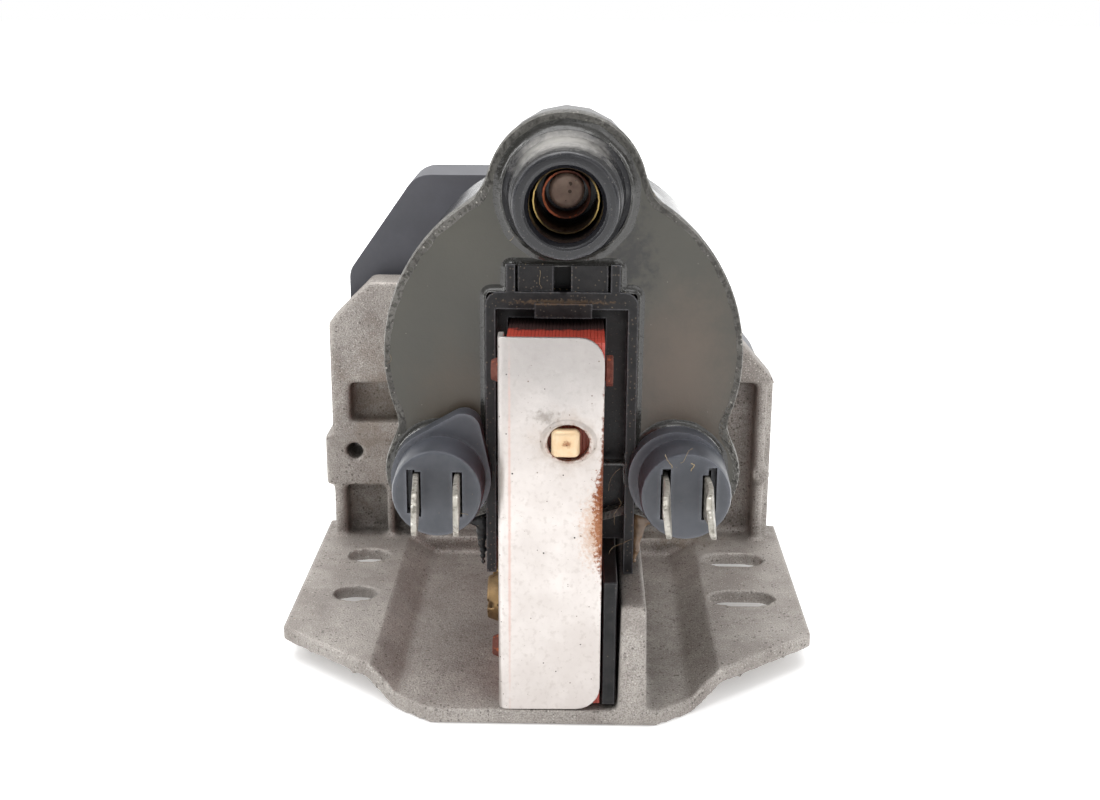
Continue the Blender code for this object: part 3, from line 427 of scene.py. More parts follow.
def sand_cast(name, worn):
    """Grey casting with a sandy skin; worn is how bright its edges have been rubbed."""
    cast = Coat(name, (188, 182, 176), 0.5, metallic=0.5)
    cast.clouds(0.3, 10.0, (140, 132, 126), 0.6, 0.7)
    cast.mottle(0.22, 0.42, 0.62, (116, 110, 105), 0.62, 0.6)
    cast.specks(0.4, 0.5, 0.3, (226, 221, 214), 0.3, 0.45)
    cast.specks(0.55, 0.25, 0.4, (84, 78, 74), 0.7, 0.6)
    # painted shade: the casting's corners and recesses darkened
    cast.dirt(6.0, 2.5, (58, 53, 51), 0.75, 0.55)
    # painted shade: the left wing darkened over a broad area
    cast.patch((-33, 34, 4), (13, 26, 4), (116, 110, 106), 0.62, 0.9, 0.4, 6.0, 0.45)
    cast.patch((-33, 66, 30), (9, 9, 20), (132, 116, 98), 0.65, 0.8, 0.6, 5.0, 0.35)
    cast.patch((24, 62, 6), (10, 6, 3), (120, 106, 86), 0.7, 0.8, 0.7, 3.0, 0.4)
    # painted shadow: the low floor under the coil darkened
    cast.patch((-14, 30, 2), (16, 26, 2.6), (112, 104, 99), 0.65, 0.6, 0.6, 7.0, 0.35)
    cast.wear(1.0, 0.5, 0.35, (232, 227, 220), 0.32, worn)
    cast.sand(0.3, 0.16)
    cast.swell(0.3, 2.5, 0.05)
    return cast.done()


cast_aluminium = sand_cast("cast_aluminium", 0.85)
cast_mark = sand_cast("cast_mark", 0.12)

# %% Core lacquer and rusted steel
lacquer = Coat("core_lacquer", (190, 72, 56), 0.42, Coat_Weight=0.35, Coat_Roughness=0.3)
lacquer.clouds(0.3, 3.0, (160, 54, 43), 0.5, 0.6)
lacquer.patch((2, 4.2, 58.7), (8, 0.5, 0.8), (84, 46, 40), 0.7, 0.6, 0.4, 1.0, 0.6)
# painted shadow: the back of the core's top, where it runs into the frame, painted near black
lacquer.patch((1.5, 14.0, 58.7), (18, 5.6, 1.6), (16, 11, 11), 0.8, 0.25, 0.2, 1.5, 0.95)
lacquer.patch((3.5, 1.4, 44.4), (4.0, 0.5, 4.0), (124, 54, 30), 0.8, 0.1, 0.1, 1.0, 0.9)
# painted shade: darker red in the corners and between the sheets
lacquer.dirt(1.5, 0.8, (72, 34, 30), 0.75, 0.55)
lacquer.dust(0.6, 0.35, (168, 118, 104), 0.8, 0.4)
lacquer.sand(0.6, 0.08)
core_lacquer = lacquer.done()
rust = Coat("rusted_steel", (118, 70, 58), 0.68, metallic=0.3)
rust.clouds(0.2, 1.2, (92, 48, 38), 0.8, 0.8)
rust.specks(0.7, 0.4, 0.4, (196, 108, 62), 0.85, 0.5)
rust.wear(0.25, 0.6, 0.4, (168, 132, 118), 0.45, 0.5)
rust.sand(0.35, 0.12)
rusted_steel = rust.done()

# %% Plated strap: pits, stains and a rusty edge
plating = Coat("plated_steel", (219, 213, 209), 0.36, metallic=0.7)
plating.clouds(0.4, 12.0, (194, 186, 181), 0.42, 0.7)
plating.mottle(0.9, 0.5, 0.72, (180, 171, 165), 0.45, 0.4)
# painted shade in the corners and round the hole of the strap, tinted brown
plating.dirt(1.2, 0.8, (120, 98, 84), 0.7, 0.6)
plating.patch((1.5, 0.4, 62), (26, 4, 26), (152, 148, 146), 0.42, 0.9, 0.15, 8.0, 0.8)
plating.patch((-4.9, 0.4, 30), (0.30, 2.0, 40), (206, 170, 158), 0.45, 0.8, 0.25, 1.5, 0.6)
plating.patch((3.3, 0.0, 44.2), (7.0, 3.0, 6.0), (170, 152, 136), 0.55, 0.9, 0.3, 1.6, 0.6)
plating.patch((0.2, 0.0, 48.2), (2.8, 3.0, 1.3), (112, 102, 92), 0.6, 0.9, 0.5, 0.9, 0.5)
plating.patch((3.6, 0.3, 44.3), (3.35, 3.0, 2.95), (126, 52, 26), 0.8, 0.25, 0.2, 0.8, 0.92)
plating.patch((8.3, 0.5, 33.0), (1.5, 3.0, 8.5), (146, 80, 42), 0.85, 0.6, 0.85, 0.6, 0.95)
plating.patch((8.6, 0.5, 36.0), (0.6, 3.0, 18.0), (122, 62, 34), 0.85, 0.5, 0.45, 0.7, 0.9)
plating.patch((7.2, 0.5, 31.0), (2.6, 3.0, 7.0), (196, 150, 112), 0.7, 0.9, 0.7, 0.5, 0.5)
plating.specks(0.9, 0.16, 0.17, (46, 41, 38), 0.7, 0.95)
plating.specks(0.45, 0.06, 0.3, (120, 104, 92), 0.7, 0.7)
plating.wear(0.2, 0.3, 0.5, (240, 238, 236), 0.25, 0.6)
plating.raise_by(plating.effect("Specks", Spacing=0.9, Share=0.10, Radius=0.16), -0.05)
plating.swell(0.4, 4.0, 0.05)
plated_steel = plating.done()
stud = Coat("stud_brass", (222, 198, 164), 0.4, metallic=0.35)
stud.clouds(0.3, 1.4, (214, 178, 132), 0.5, 0.6)
stud.patch((3.3, -0.9, 44.6), (0.8, 0.6, 0.7), (142, 82, 44), 0.7, 0.9, 0.6, 0.5, 0.75)
stud.specks(0.8, 0.25, 0.25, (90, 62, 44), 0.7, 0.8)
stud.dirt(0.8, 0.5, (128, 58, 32), 0.8, 0.9)
stud.sand(0.5, 0.05)
stud_brass = stud.done()
print("finishes so far:", len(bpy.data.materials))

# %% Potting resin and its broken rim
resin = Coat("resin", (67, 65, 56), 0.32, Coat_Weight=0.15, Coat_Roughness=0.3)
resin.clouds(0.3, 26.0, (56, 55, 49), 0.4, 0.7)
resin.patch((20, 13.4, 50), (12, 9, 20), (92, 79, 67), 0.36, 0.9, 0.3, 9.0, 0.8)
resin.patch((-13, 13.4, 46), (11, 9, 12), (74, 64, 50), 0.34, 0.9, 0.3, 8.0, 0.75)
resin.patch((12, 13.4, 69), (5, 9, 8), (40, 40, 42), 0.6, 0.9, 0.6, 1.6, 0.75)
# painted shade: darker resin in the corners where it meets the parts
resin.dirt(2.0, 1.0, (38, 37, 36), 0.6, 0.75)
resin.specks(2.6, 0.22, 0.07, (170, 158, 132), 0.8, 0.8)
resin.specks(1.1, 0.10, 0.09, (128, 124, 114), 0.8, 0.6)
resin.swell(0.3, 7.0, 0.05)
resin.sand(0.5, 0.012)
potting_resin = resin.done()
wet = Coat("resin_fillet", (38, 37, 34), 0.12, Coat_Weight=0.5, Coat_Roughness=0.05)
wet.clouds(0.3, 3.0, (48, 47, 44), 0.3, 0.7)
wet.specks(0.8, 0.2, 0.15, (150, 144, 132), 0.8, 0.5)
wet.swell(0.3, 2.0, 0.08)
resin_fillet = wet.done()
broken = Coat("resin_rim", (106, 104, 99), 0.4)
broken.clouds(0.5, 5.0, (56, 54, 50), 0.5, 0.85)
broken.mottle(0.7, 0.50, 0.62, (48, 46, 42), 0.6, 0.75)
broken.specks(1.2, 0.05, 0.22, (176, 142, 86), 0.6, 0.6)
broken.specks(0.6, 0.25, 0.3, (196, 192, 184), 0.4, 0.55)
broken.wear(0.18, 0.4, 0.3, (178, 174, 166), 0.35, 0.6)
broken.sand(0.45, 0.25)
resin_rim = broken.done()

# %% Plastics
black = moulded("black_plastic", (28, 28, 30), 0.14, 0.5, 0.25)
# painted shade: darker in the corners of the case
black.dirt(2.0, 1.0, (18, 17, 18), 0.6, 0.7)
black_plastic = black.done()
tower = moulded("tower_plastic", (24, 24, 28), 0.24, 0.5, 0.0)
tower.patch((1.2, 9, 87), (12, 7, 10), (168, 165, 160), 0.7, 0.95, 0.25, 1.2, 0.75)
tower.specks(0.5, 0.25, 0.2, (118, 114, 108), 0.8, 0.3)
# painted shade in the tower's corners
tower.dirt(1.6, 0.7, (24, 22, 22), 0.7, 0.6)
# painted highlight: a light line along the tower's edges
tower.wear(0.9, 0.3, 0.5, (170, 171, 177), 0.3, 0.8)
tower_plastic = tower.done()
channel = moulded("channel_plastic", (19, 19, 21), 0.3, 1.0, 0.1, Specular_IOR_Level=0.25)
channel.clouds(0.4, 2.5, (58, 57, 57), 0.6, 0.5)
channel.specks(0.5, 0.55, 0.26, (118, 108, 96), 0.85, 0.5)
channel.wear(0.5, 0.5, 0.5, (128, 128, 132), 0.4, 0.6)
channel.patch((2.5, 12.3, 62.1), (9, 2.4, 0.5), (120, 98, 76), 0.9, 0.9, 0.7, 0.5, 0.7)
# painted shade: the corners and the inside of the frame darkened almost to black
channel.dirt(3.0, 0.9, (12, 11, 12), 0.7, 0.85)
# painted shade: the slot in the crown painted near black
channel.patch((2.4, 15.0, 65.6), (1.25, 5.0, 3.2), (8, 8, 10), 0.5, 0.1, 0.1, 1.0, 0.9)
channel_plastic = channel.done()
boss = moulded("terminal_plastic", (70, 73, 80), 0.36, 0.4, 0.4)
boss.specks(1.4, 0.25, 0.07, (190, 188, 184), 0.8, 0.7)
boss.clouds(0.4, 3.5, (86, 88, 95), 0.5, 0.5)
# painted shade in the block's corners
boss.dirt(0.9, 0.8, (34, 34, 37), 0.6, 0.8)
# painted highlight: a broad lighter band on the block's rims
boss.wear(1.2, 0.4, 0.5, (128, 130, 138), 0.4, 0.5)
terminal_plastic = boss.done()
module = moulded("module_plastic", (81, 82, 89), 0.42, 0.7, 0.5)
module.clouds(0.3, 24.0, (102, 102, 107), 0.5, 0.4)
module_plastic = module.done()
bobbin_plastic = moulded("bobbin_plastic", (196, 186, 160), 0.5, 0.4, 0.2).done()
chip_plastic = moulded("chip_plastic", (34, 34, 36), 0.5, 0.8, 0.2).done()
capacitor_film = moulded("capacitor_film", (168, 120, 58), 0.35, 0.4, 0.2, Coat_Weight=0.3).done()
pad_silicone = moulded("pad_silicone", (168, 176, 182), 0.7, 0.8, 0.3).done()
print("finishes so far:", len(bpy.data.materials))

# %% [markdown]
# Small metal parts share one recipe: a base metal, tarnish in clouds, darker where it is shut in and a
# bright rubbed edge. Only the colours differ, so one function paints them all.

# %% Small metals and the rest


def metal(name, colour, tarnish, roughness, spot=None, metallic=0.9):
    coat = Coat(name, colour, roughness, metallic=metallic)
    coat.clouds(0.2, 2.0, tarnish, roughness + 0.15, 0.75)
    # darker where the part is shut in, from ambient occlusion
    coat.dirt(1.0, 0.6, tuple(part * 0.35 for part in tarnish), 0.8, 0.75)
    if spot:
        coat.specks(0.8, 0.35, 0.35, spot, 0.8, 0.7)
    coat.wear(0.2, 0.4, 0.4, tuple(min(part + 40, 255) for part in colour), 0.3, 0.6)
    coat.sand(0.3, 0.05)
    return coat


sleeve = metal("sleeve_brass", (74, 60, 36), (46, 37, 26), 0.35, (30, 26, 22))
for side_x in (-2.0, 7.6):
    sleeve.patch((side_x, 7.0, 77), (2.2, 0.2, 5.5), (214, 184, 116), 0.3, 0.9, 0.1, 1.0, 0.9)
sleeve_brass = sleeve.done()
copper = metal("copper", (190, 104, 66), (136, 66, 40), 0.4).done()
cup = metal("cup_copper", (112, 58, 38), (72, 40, 30), 0.55, (196, 102, 54), 0.4)
cup.patch((0.0, 12.9, 77), (2.6, 0.8, 6), (214, 116, 78), 0.5, 0.6, 0.4, 0.6, 0.9)
cup_copper = cup.done()
pin_brown = metal("pin_brown", (206, 180, 164), (168, 140, 124), 0.5, (82, 66, 56), 0.3).done()
bolt_bronze = metal("bolt_bronze", (176, 146, 104), (120, 100, 78), 0.42, (84, 68, 54)).done()
tinned = metal("tinned_brass", (190, 186, 178), (138, 134, 124), 0.46, (96, 86, 68), 0.7)
tinned.mottle(0.9, 0.5, 0.64, (92, 88, 80), 0.6, 0.6)
tinned.specks(0.7, 0.4, 0.3, (232, 229, 222), 0.3, 0.6)
tinned_brass = tinned.done()
screw_steel = metal("screw_steel", (150, 150, 152), (104, 102, 100), 0.4).done()
plain_aluminium = metal("plain_aluminium", (192, 192, 190), (150, 148, 146), 0.45).done()
board_ceramic = moulded("board_ceramic", (206, 204, 196), 0.5, 0.4, 0.2).done()
paper = Coat("shim_paper", (150, 128, 92), 0.85)
paper.clouds(0.15, 1.5, (118, 94, 62), 0.9, 0.8)
paper.sand(0.15, 0.1)
shim_paper = paper.done()
crust = Coat("brown_resin", (120, 94, 68), 0.34, Coat_Weight=0.3)
crust.clouds(0.4, 1.6, (82, 62, 46), 0.5, 0.8)
crust.sand(0.8, 0.15)
brown_resin = crust.done()
lint = Coat("lint", (176, 158, 128), 0.9)
lint.clouds(0.1, 3.0, (120, 104, 84), 0.95, 0.8)
lint_dust = lint.done()
print("finishes:", len(bpy.data.materials))

# %% [markdown]
# ## From CAD nodes to finished pieces
# A CAD node is sharp and faceted. `refine` welds a copy, dissolves its flat facets, rounds the edges
# with a Bevel, and weights the normals so flat faces stay flat. The CAD node stays in the physics
# model, and the finished piece stands in for it.

# %% The finishing bench


def settle(piece, material, slot, *nodes):
    """Dresses a finished piece, fixes it to the body and hides the CAD nodes it stands for."""
    link(piece)
    piece.data.materials.clear()
    piece.data.materials.append(material)
    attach(piece, "root")
    if nodes:
        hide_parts(*nodes)


def bake_modifiers(piece):
    """Turns the piece as evaluated into a plain mesh."""
    link(piece)
    graph = bpy.context.evaluated_depsgraph_get()
    graph.update()
    solid = bpy.data.meshes.new_from_object(piece.evaluated_get(graph))
    piece.modifiers.clear()
    piece.data = solid


def soften(piece, width, segments=2, crease=28):
    """Rounds the edges that are sharper than the crease angle and keeps flat faces flat."""
    if width:
        edge = piece.modifiers.new("round", "BEVEL")
        edge.width = width * MM
        edge.segments = segments
        edge.limit_method = "ANGLE"
        edge.angle_limit = math.radians(crease)
        edge.miter_outer = "MITER_ARC"
    piece.data.shade_smooth()
    weigh = piece.modifiers.new("weigh", "WEIGHTED_NORMAL")
    weigh.keep_sharp = True
    piece.data.set_sharp_from_angle(angle=math.radians(50 if width else crease))
    bake_modifiers(piece)


MOST_CORNERS = 40


def welded_copy(name):
    """A copy of a CAD node, welded, with its flat facets dissolved."""
    work = bmesh.new()
    work.from_mesh(frame["nodes"][name].data)
    bmesh.ops.remove_doubles(work, verts=work.verts, dist=0.000002)
    bmesh.ops.dissolve_limit(work, angle_limit=math.radians(0.8), verts=work.verts, edges=work.edges)
    ringed = [face for face in work.faces if len(face.verts) > MOST_CORNERS]
    bmesh.ops.triangulate(work, faces=ringed)
    mesh = bpy.data.meshes.new(name + "_finished")
    work.to_mesh(mesh)
    work.free()
    for spare in [one.name for one in mesh.attributes if "normal" in one.name]:
        mesh.attributes.remove(mesh.attributes[spare])
    return bpy.data.objects.new(name + "_finished", mesh)


def refine(name, material, slot, width=0.2, segments=2, shape=None):
    piece = welded_copy(name)
    if shape:
        shape(piece)
    soften(piece, width, segments)
    settle(piece, material, slot, name)


print("bench ready")

# %% Plain sub-parts
plain_parts = (
    ("core_strap", plated_steel, "plated_steel", 0.12, 2),
    ("strap_stud", stud_brass, "stud_brass", 0.4, 3),
    ("core_channel", channel_plastic, "black_plastic", 0.42, 3),
    ("core_spacer", channel_plastic, "black_plastic", 0.2, 2),
    ("coil_case", black_plastic, "black_plastic", 0.25, 2),
    ("hv_terminal_sleeve", sleeve_brass, "brass", 0.08, 2),
    ("hv_terminal_cup", cup_copper, "copper", 0.15, 2),
    ("hv_contact_pin", pin_brown, "rusted_steel", 0.3, 3),
    ("module_housing", module_plastic, "module_plastic", 0.7, 4),
    ("module_lid", plain_aluminium, "plain_aluminium", 0.15, 2),
    ("thermal_pad", pad_silicone, "pad_silicone", 0.0, 2),
    ("circuit_board", board_ceramic, "board_ceramic", 0.0, 2),
    ("power_transistor", chip_plastic, "chip_plastic", 0.1, 2),
    ("driver_chip", chip_plastic, "chip_plastic", 0.1, 2),
    ("noise_capacitor", capacitor_film, "capacitor_film", 0.4, 3),
    ("primary_bobbin", bobbin_plastic, "bobbin_plastic", 0.1, 2),
    ("secondary_bobbin", bobbin_plastic, "bobbin_plastic", 0.1, 2),
    ("gap_shim_upper", shim_paper, "shim_paper", 0.0, 2),
    ("gap_shim_lower", shim_paper, "shim_paper", 0.0, 2),
    ("hv_lead", copper, "copper", 0.0, 2),
    ("primary_lead_left", copper, "copper", 0.0, 2),
    ("primary_lead_right", copper, "copper", 0.0, 2),
)
for name, material, slot, width, segments in plain_parts:
    refine(name, material, slot, width, segments)
for row in ("front", "rear"):
    refine(f"core_bolt_{row}", bolt_bronze, "bolt_bronze", 0.25, 3)
    for level_name in ("upper", "lower"):
        refine(f"core_rivet_{row}_{level_name}", rusted_steel, "rusted_steel", 0.3, 3)
for number in range(1, 8):
    refine(f"socket_pin_{number}", tinned_brass, "tinned_brass", 0.1, 2)
for number in range(1, 5):
    refine(f"module_screw_{number}", screw_steel, "screw_steel", 0.15, 2)

# %% [markdown]
# ## The casting
# A die-cast bracket has a small radius on every edge, pin marks where it was pushed out of the die, and
# a sandy skin. The radii come from the finishing bench; the marks are shallow discs and rings.

# %% Bracket and its pin marks


def loose_object(name, work):
    mesh = bpy.data.meshes.new(name)
    bmesh.ops.recalc_face_normals(work, faces=work.faces)
    work.to_mesh(mesh)
    work.free()
    return bpy.data.objects.new(name, mesh)


def skin(work, rings):
    """Joins closed rings of bench places, one to the next and the last to the first."""
    rings = [[work.verts.new(at(*place)) for place in ring] for ring in rings]
    for index, ring in enumerate(rings):
        following = rings[(index + 1) % len(rings)]
        for step in range(len(ring)):
            corner = (step + 1) % len(ring)
            work.faces.new((ring[step], ring[corner], following[corner], following[step]))


WELD = 0.0000001


def turned(name, profile, centre, axis, segments):
    """Spins a closed (radius, along) outline, in bench millimetres, about an axis through the centre."""
    rings = []
    for index in range(segments):
        angle = 2 * math.pi * index / segments
        ring = []
        for radius, along in profile:
            across, up = radius * math.sin(angle), radius * math.cos(angle)
            offset = {"X": (along, across, up), "Y": (across, along, up), "Z": (across, up, along)}[axis]
            ring.append([middle + part for middle, part in zip(centre, offset)])
        rings.append(ring)
    work = bmesh.new()
    skin(work, rings)
    bmesh.ops.remove_doubles(work, verts=work.verts, dist=WELD)
    return loose_object(name, work)


def pin_mark(name, centre, axis, radius, height):
    """A shallow ring: proud of the skin, or sunk in it if the height is negative."""
    low, high = -0.05 if height > 0 else 0.05, height
    profile = ((radius, low), (radius, high * 0.6), (radius * 0.88, high), (radius * 0.74, high * 0.3))
    ring = turned(name, (*profile, (radius * 0.70, low)), centre, axis, 32)
    soften(ring, 0.0)
    settle(ring, cast_mark, "cast_aluminium")


SKIN_GRID = 0.55


def cast_skin(piece):
    """Rebuilds the piece on a fine grid, which rounds every edge and corner as a die does."""
    grid = piece.modifiers.new("grid", "REMESH")
    grid.mode = "VOXEL"
    grid.voxel_size = SKIN_GRID * MM
    grid.use_smooth_shade = True
    ease = piece.modifiers.new("ease", "SMOOTH")
    ease.factor = 0.5
    ease.iterations = 2


refine("mounting_bracket", cast_aluminium, "cast_aluminium", 0.0, shape=cast_skin)
rib_low_z, wing_top = 10.2, 5.5
pin_mark("rib_pin_mark", (13.35, 0.02, rib_low_z), "Y", 1.35, -0.08)
for number, (x, y) in enumerate(((30.9, 20.4), (33.6, 20.1))):
    pin_mark(f"wing_pin_mark_{number}", (x, y, wing_top), "Z", 0.45, 0.09)

# %% [markdown]
# ## The laminated core
# The core is a pile of thin iron sheets, so that eddy currents cannot flow across it. A pile is a rule,
# and Geometry Nodes repeat one sheet along a line, each a few hundredths of a millimetre out of true.

# %% Sheets on a line
SHEETS = 28


def new_tree(name, inputs):
    tree = bpy.data.node_groups.new(name, "GeometryNodeTree")
    tree.interface.new_socket("Geometry", in_out="INPUT", socket_type="NodeSocketGeometry")
    identifiers = {}
    for key, (kind, value) in inputs.items():
        made = tree.interface.new_socket(key, in_out="INPUT", socket_type="NodeSocket" + kind)
        if value is not None:
            made.default_value = value
        identifiers[key] = made.identifier
    tree.interface.new_socket("Geometry", in_out="OUTPUT", socket_type="NodeSocketGeometry")
    given, result = (tree.nodes.new("NodeGroup" + side) for side in ("Input", "Output"))
    return tree, identifiers, given.outputs, result.inputs


def geo(tree, kind, inputs):
    made = tree.nodes.new("GeometryNode" + kind)
    for key, value in inputs.items():
        socket_of(tree, value, made.inputs[key])
    return made


def close_tree(tree, geometry, material, result):
    real = geo(tree, "RealizeInstances", {"Geometry": geometry})
    coated = geo(tree, "SetMaterial", {"Geometry": real.outputs[0]})
    tree.links.new(material, coated.inputs["Material"])
    tree.links.new(coated.outputs[0], result["Geometry"])


def drawn(tree, low, high, seed):
    """A random vector for each instance, between two corners."""
    made = tree.nodes.new("FunctionNodeRandomValue")
    made.data_type = "FLOAT_VECTOR"
    for key, value in {"Min": low, "Max": high, "Seed": seed}.items():
        socket_of(tree, value, made.inputs[key])
    return made.outputs[0]


NOWHERE = (0.0, 0.0, 0.0)
pile_inputs = {
    "Count": ("Int", SHEETS), "Step": ("Vector", (0.0005, 0, 0)), "Untrue": ("Float", 0.00003),
    "Seed": ("Int", 7), "Material": ("Material", None),
}
pile_tree, pile_keys, given, result = new_tree("Pile Of Sheets", pile_inputs)
line = geo(pile_tree, "MeshLine", {"Count": given["Count"], "Offset": given["Step"]})
placed = geo(pile_tree, "InstanceOnPoints", {"Points": line.outputs[0], "Instance": given["Geometry"]})
low_corner = pile_tree.nodes.new("ShaderNodeVectorMath")
low_corner.operation = "SCALE"
low_corner.inputs[0].default_value = (0, -1, -1)
pile_tree.links.new(given["Untrue"], low_corner.inputs["Scale"])
jog = drawn(pile_tree, low_corner.outputs[0], NOWHERE, given["Seed"])
jogged = geo(pile_tree, "TranslateInstances", {"Instances": placed.outputs[0], "Translation": jog})
close_tree(pile_tree, jogged.outputs[0], given["Material"], result)


def run_tree(piece, tree, keys, values):
    """Runs a tree on a piece once and keeps the plain mesh."""
    step = piece.modifiers.new("rule", "NODES")
    step.node_group = tree
    for key, value in values.items():
        step[keys[key]] = value
    bake_modifiers(piece)


def core_sheet(name, outline, x, thickness):
    work = bmesh.new()
    front = [work.verts.new(at(x, y, z)) for y, z in outline]
    back = [work.verts.new(at(x + thickness, y, z)) for y, z in outline]
    work.faces.new(front)
    work.faces.new(list(reversed(back)))
    for index in range(len(outline)):
        following = (index + 1) % len(outline)
        work.faces.new((front[index], back[index], back[following], front[following]))
    return loose_object(name, work)


YOKE, UPPER_LEG, LOWER_LEG = 10.5, 10.8, 13.0
for row, outer in (("front", "low"), ("rear", "high")):
    low, high = span(f"core_{row}_stack")
    back_y, tip_y, turn = (low.y, high.y, 1) if outer == "low" else (high.y, low.y, -1)
    yoke_y = back_y + turn * YOKE
    outline = [
        (back_y, low.z), (tip_y, low.z), (tip_y, low.z + LOWER_LEG), (yoke_y, low.z + LOWER_LEG),
        (yoke_y, high.z - UPPER_LEG), (tip_y, high.z - UPPER_LEG), (tip_y, high.z), (back_y, high.z),
    ]
    pitch_x = (high.x - low.x) / SHEETS
    stack = core_sheet(f"core_{row}_sheets", outline, low.x + 0.01, pitch_x - 0.02)
    edge = stack.modifiers.new("round", "BEVEL")
    edge.width = 0.05 * MM
    edge.segments = 1
    bake_modifiers(stack)
    values = {"Step": (pitch_x * MM, 0, 0), "Untrue": 0.03 * MM, "Seed": 3 + len(row)}
    values["Material"] = core_lacquer
    run_tree(stack, pile_tree, pile_keys, values)
    settle(stack, core_lacquer, "core_lacquer", f"core_{row}_stack")
    print(row, "core:", SHEETS, "sheets,", len(stack.data.polygons), "faces")

# %% [markdown]
# ## The potting resin
# Resin was poured round the windings and its lip was broken off the mould, which leaves a ragged,
# lighter band round the face, with bubbles at the upper left and fine teeth at the lower right. The
# outline is a disc with three lobes, blended the same way as in the CAD, read here as a radius for
# each angle. A ring of cross-sections follows it, shaken by noise.

# %% Outline of the coil
COIL = (2.5, 53.7)
TOWER = (2.8, 77.8)
BOSSES = {"left": (-15.6, 35.5), "right": (20.6, 35.5)}
LOBES = ((*COIL, 26.8), (*TOWER, 11.9), (*BOSSES["left"], 8.9), (*BOSSES["right"], 8.9))
FILLET = 3.0
FACE = 13.4


def coil_distance(x, z):
    """Signed distance to the outline; each lobe is blended in with a fillet."""
    nearest = math.inf
    for lobe_x, lobe_z, radius in LOBES:
        distance = math.hypot(x - lobe_x, z - lobe_z) - radius
        if nearest == math.inf:
            nearest = distance
            continue
        overlap = max(FILLET - abs(nearest - distance), 0.0) / FILLET
        nearest = min(nearest, distance) - overlap * overlap * FILLET / 4
    return nearest


def coil_point(angle, inset):
    """A point of the outline, drawn in by the inset, on a ray from the coil's axis."""
    low, high = 5.0, 60.0
    for _ in range(26):
        reach = (low + high) / 2
        if coil_distance(COIL[0] + reach * math.sin(angle), COIL[1] + reach * math.cos(angle)) < -inset:
            low = reach
        else:
            high = reach
    return COIL[0] + low * math.sin(angle), COIL[1] + low * math.cos(angle)


print("outline top at Z", round(coil_point(0.0, 0.0)[1], 2))

# %% Resin body and broken rim
RIM_STEPS = 900


def near(angle, centre, half):
    """1 at the centre angle, in degrees clockwise from the top, and 0 past the half width."""
    away = abs((math.degrees(angle) - centre + 180) % 360 - 180)
    return max(0.0, 1 - away / half) ** 0.5


def draw_in(piece):
    """Pulls the body's outer wall just inside the rim that covers it."""
    for vertex in piece.data.vertices:
        x, y, z = vertex.co.x / MM, (vertex.co.y - FRONT_EDGE) / MM, vertex.co.z / MM
        if y < 16.6 and coil_distance(x, z) > -0.5:
            away = Vector((x - COIL[0], 0, z - COIL[1])).normalized()
            vertex.co -= away * 0.35 * MM


def rim_section(angle):
    """Points (inset, y) across the lip, from the face, over the crest and down the wall."""
    spot = Vector((math.sin(angle), math.cos(angle), 0)) * 30
    slow = noise.noise(spot * 0.35)
    quick = noise.noise(spot * 1.3 + Vector((5, 0, 0)))
    fast = noise.noise(spot * 3.1 + Vector((0, 9, 0)))
    rough = 0.35 + 0.65 * near(angle, 315, 40) + 0.3 * near(angle, 60, 60)
    teeth = 0.10 * near(angle, 125, 28) * (1 if math.sin(angle * 230) > 0 else -1)
    bubble = 0.38 * near(angle, 315, 42) * max(0.0, quick) * 2
    width = 1.05 + 0.25 * slow + 0.3 * near(angle, 315, 40)
    crest = FACE - 0.10 - rough * (0.10 + 0.22 * quick + 0.14 * fast)
    lip = 0.04 + rough * 0.12 * abs(fast) + 0.06 * (1 + slow)
    return (
        (width + 0.25, FACE + 0.12),
        (width, FACE - 0.03),
        (width * 0.72, crest + 0.10 + bubble + teeth),
        (width * 0.45, crest + bubble * 1.3 - teeth),
        (lip + 0.12, crest + 0.12 * fast + teeth),
        (lip, FACE + 0.35 + 0.15 * quick),
        (0.03 + 0.05 * abs(quick), FACE + 1.4),
        (0.05, 16.2),
        (width + 0.25, 16.2),
    )


refine("potting_resin", potting_resin, "resin", 0.0, shape=draw_in)
rim_rings = []
for angle in (2 * math.pi * index / RIM_STEPS for index in range(RIM_STEPS)):
    points = ((coil_point(angle, inset), y) for inset, y in rim_section(angle))
    rim_rings.append([(x, y, z) for (x, z), y in points])
rim_work = bmesh.new()
skin(rim_work, rim_rings)
rim = loose_object("resin_rim", rim_work)
rim.data.shade_smooth()
rim.data.set_sharp_from_angle(angle=math.radians(38))
settle(rim, resin_rim, "resin")
print("rim has", len(rim.data.polygons), "faces")

# %% [markdown]
# Where resin meets a plastic part it creeps up the wall in a thin curved fillet, a meniscus. It is the
# bright line round the tower, the frame and the two terminal blocks. One function sweeps the same
# little concave section round any closed path on the face.

# %% Menisci


def rounded_path(corners, radius, steps=6):
    """A closed (x, z) path through the corners, with its corners rounded, counter-clockwise."""
    path = []
    count = len(corners)
    for index in range(count):
        corner = Vector(corners[index])
        before = (Vector(corners[index - 1]) - corner).normalized()
        after = (Vector(corners[(index + 1) % count]) - corner).normalized()
        start, end = corner + before * radius, corner + after * radius
        for step in range(steps + 1):
            share = step / steps
            path.append((1 - share) ** 2 * start + 2 * share * (1 - share) * corner + share * share * end)
    return path


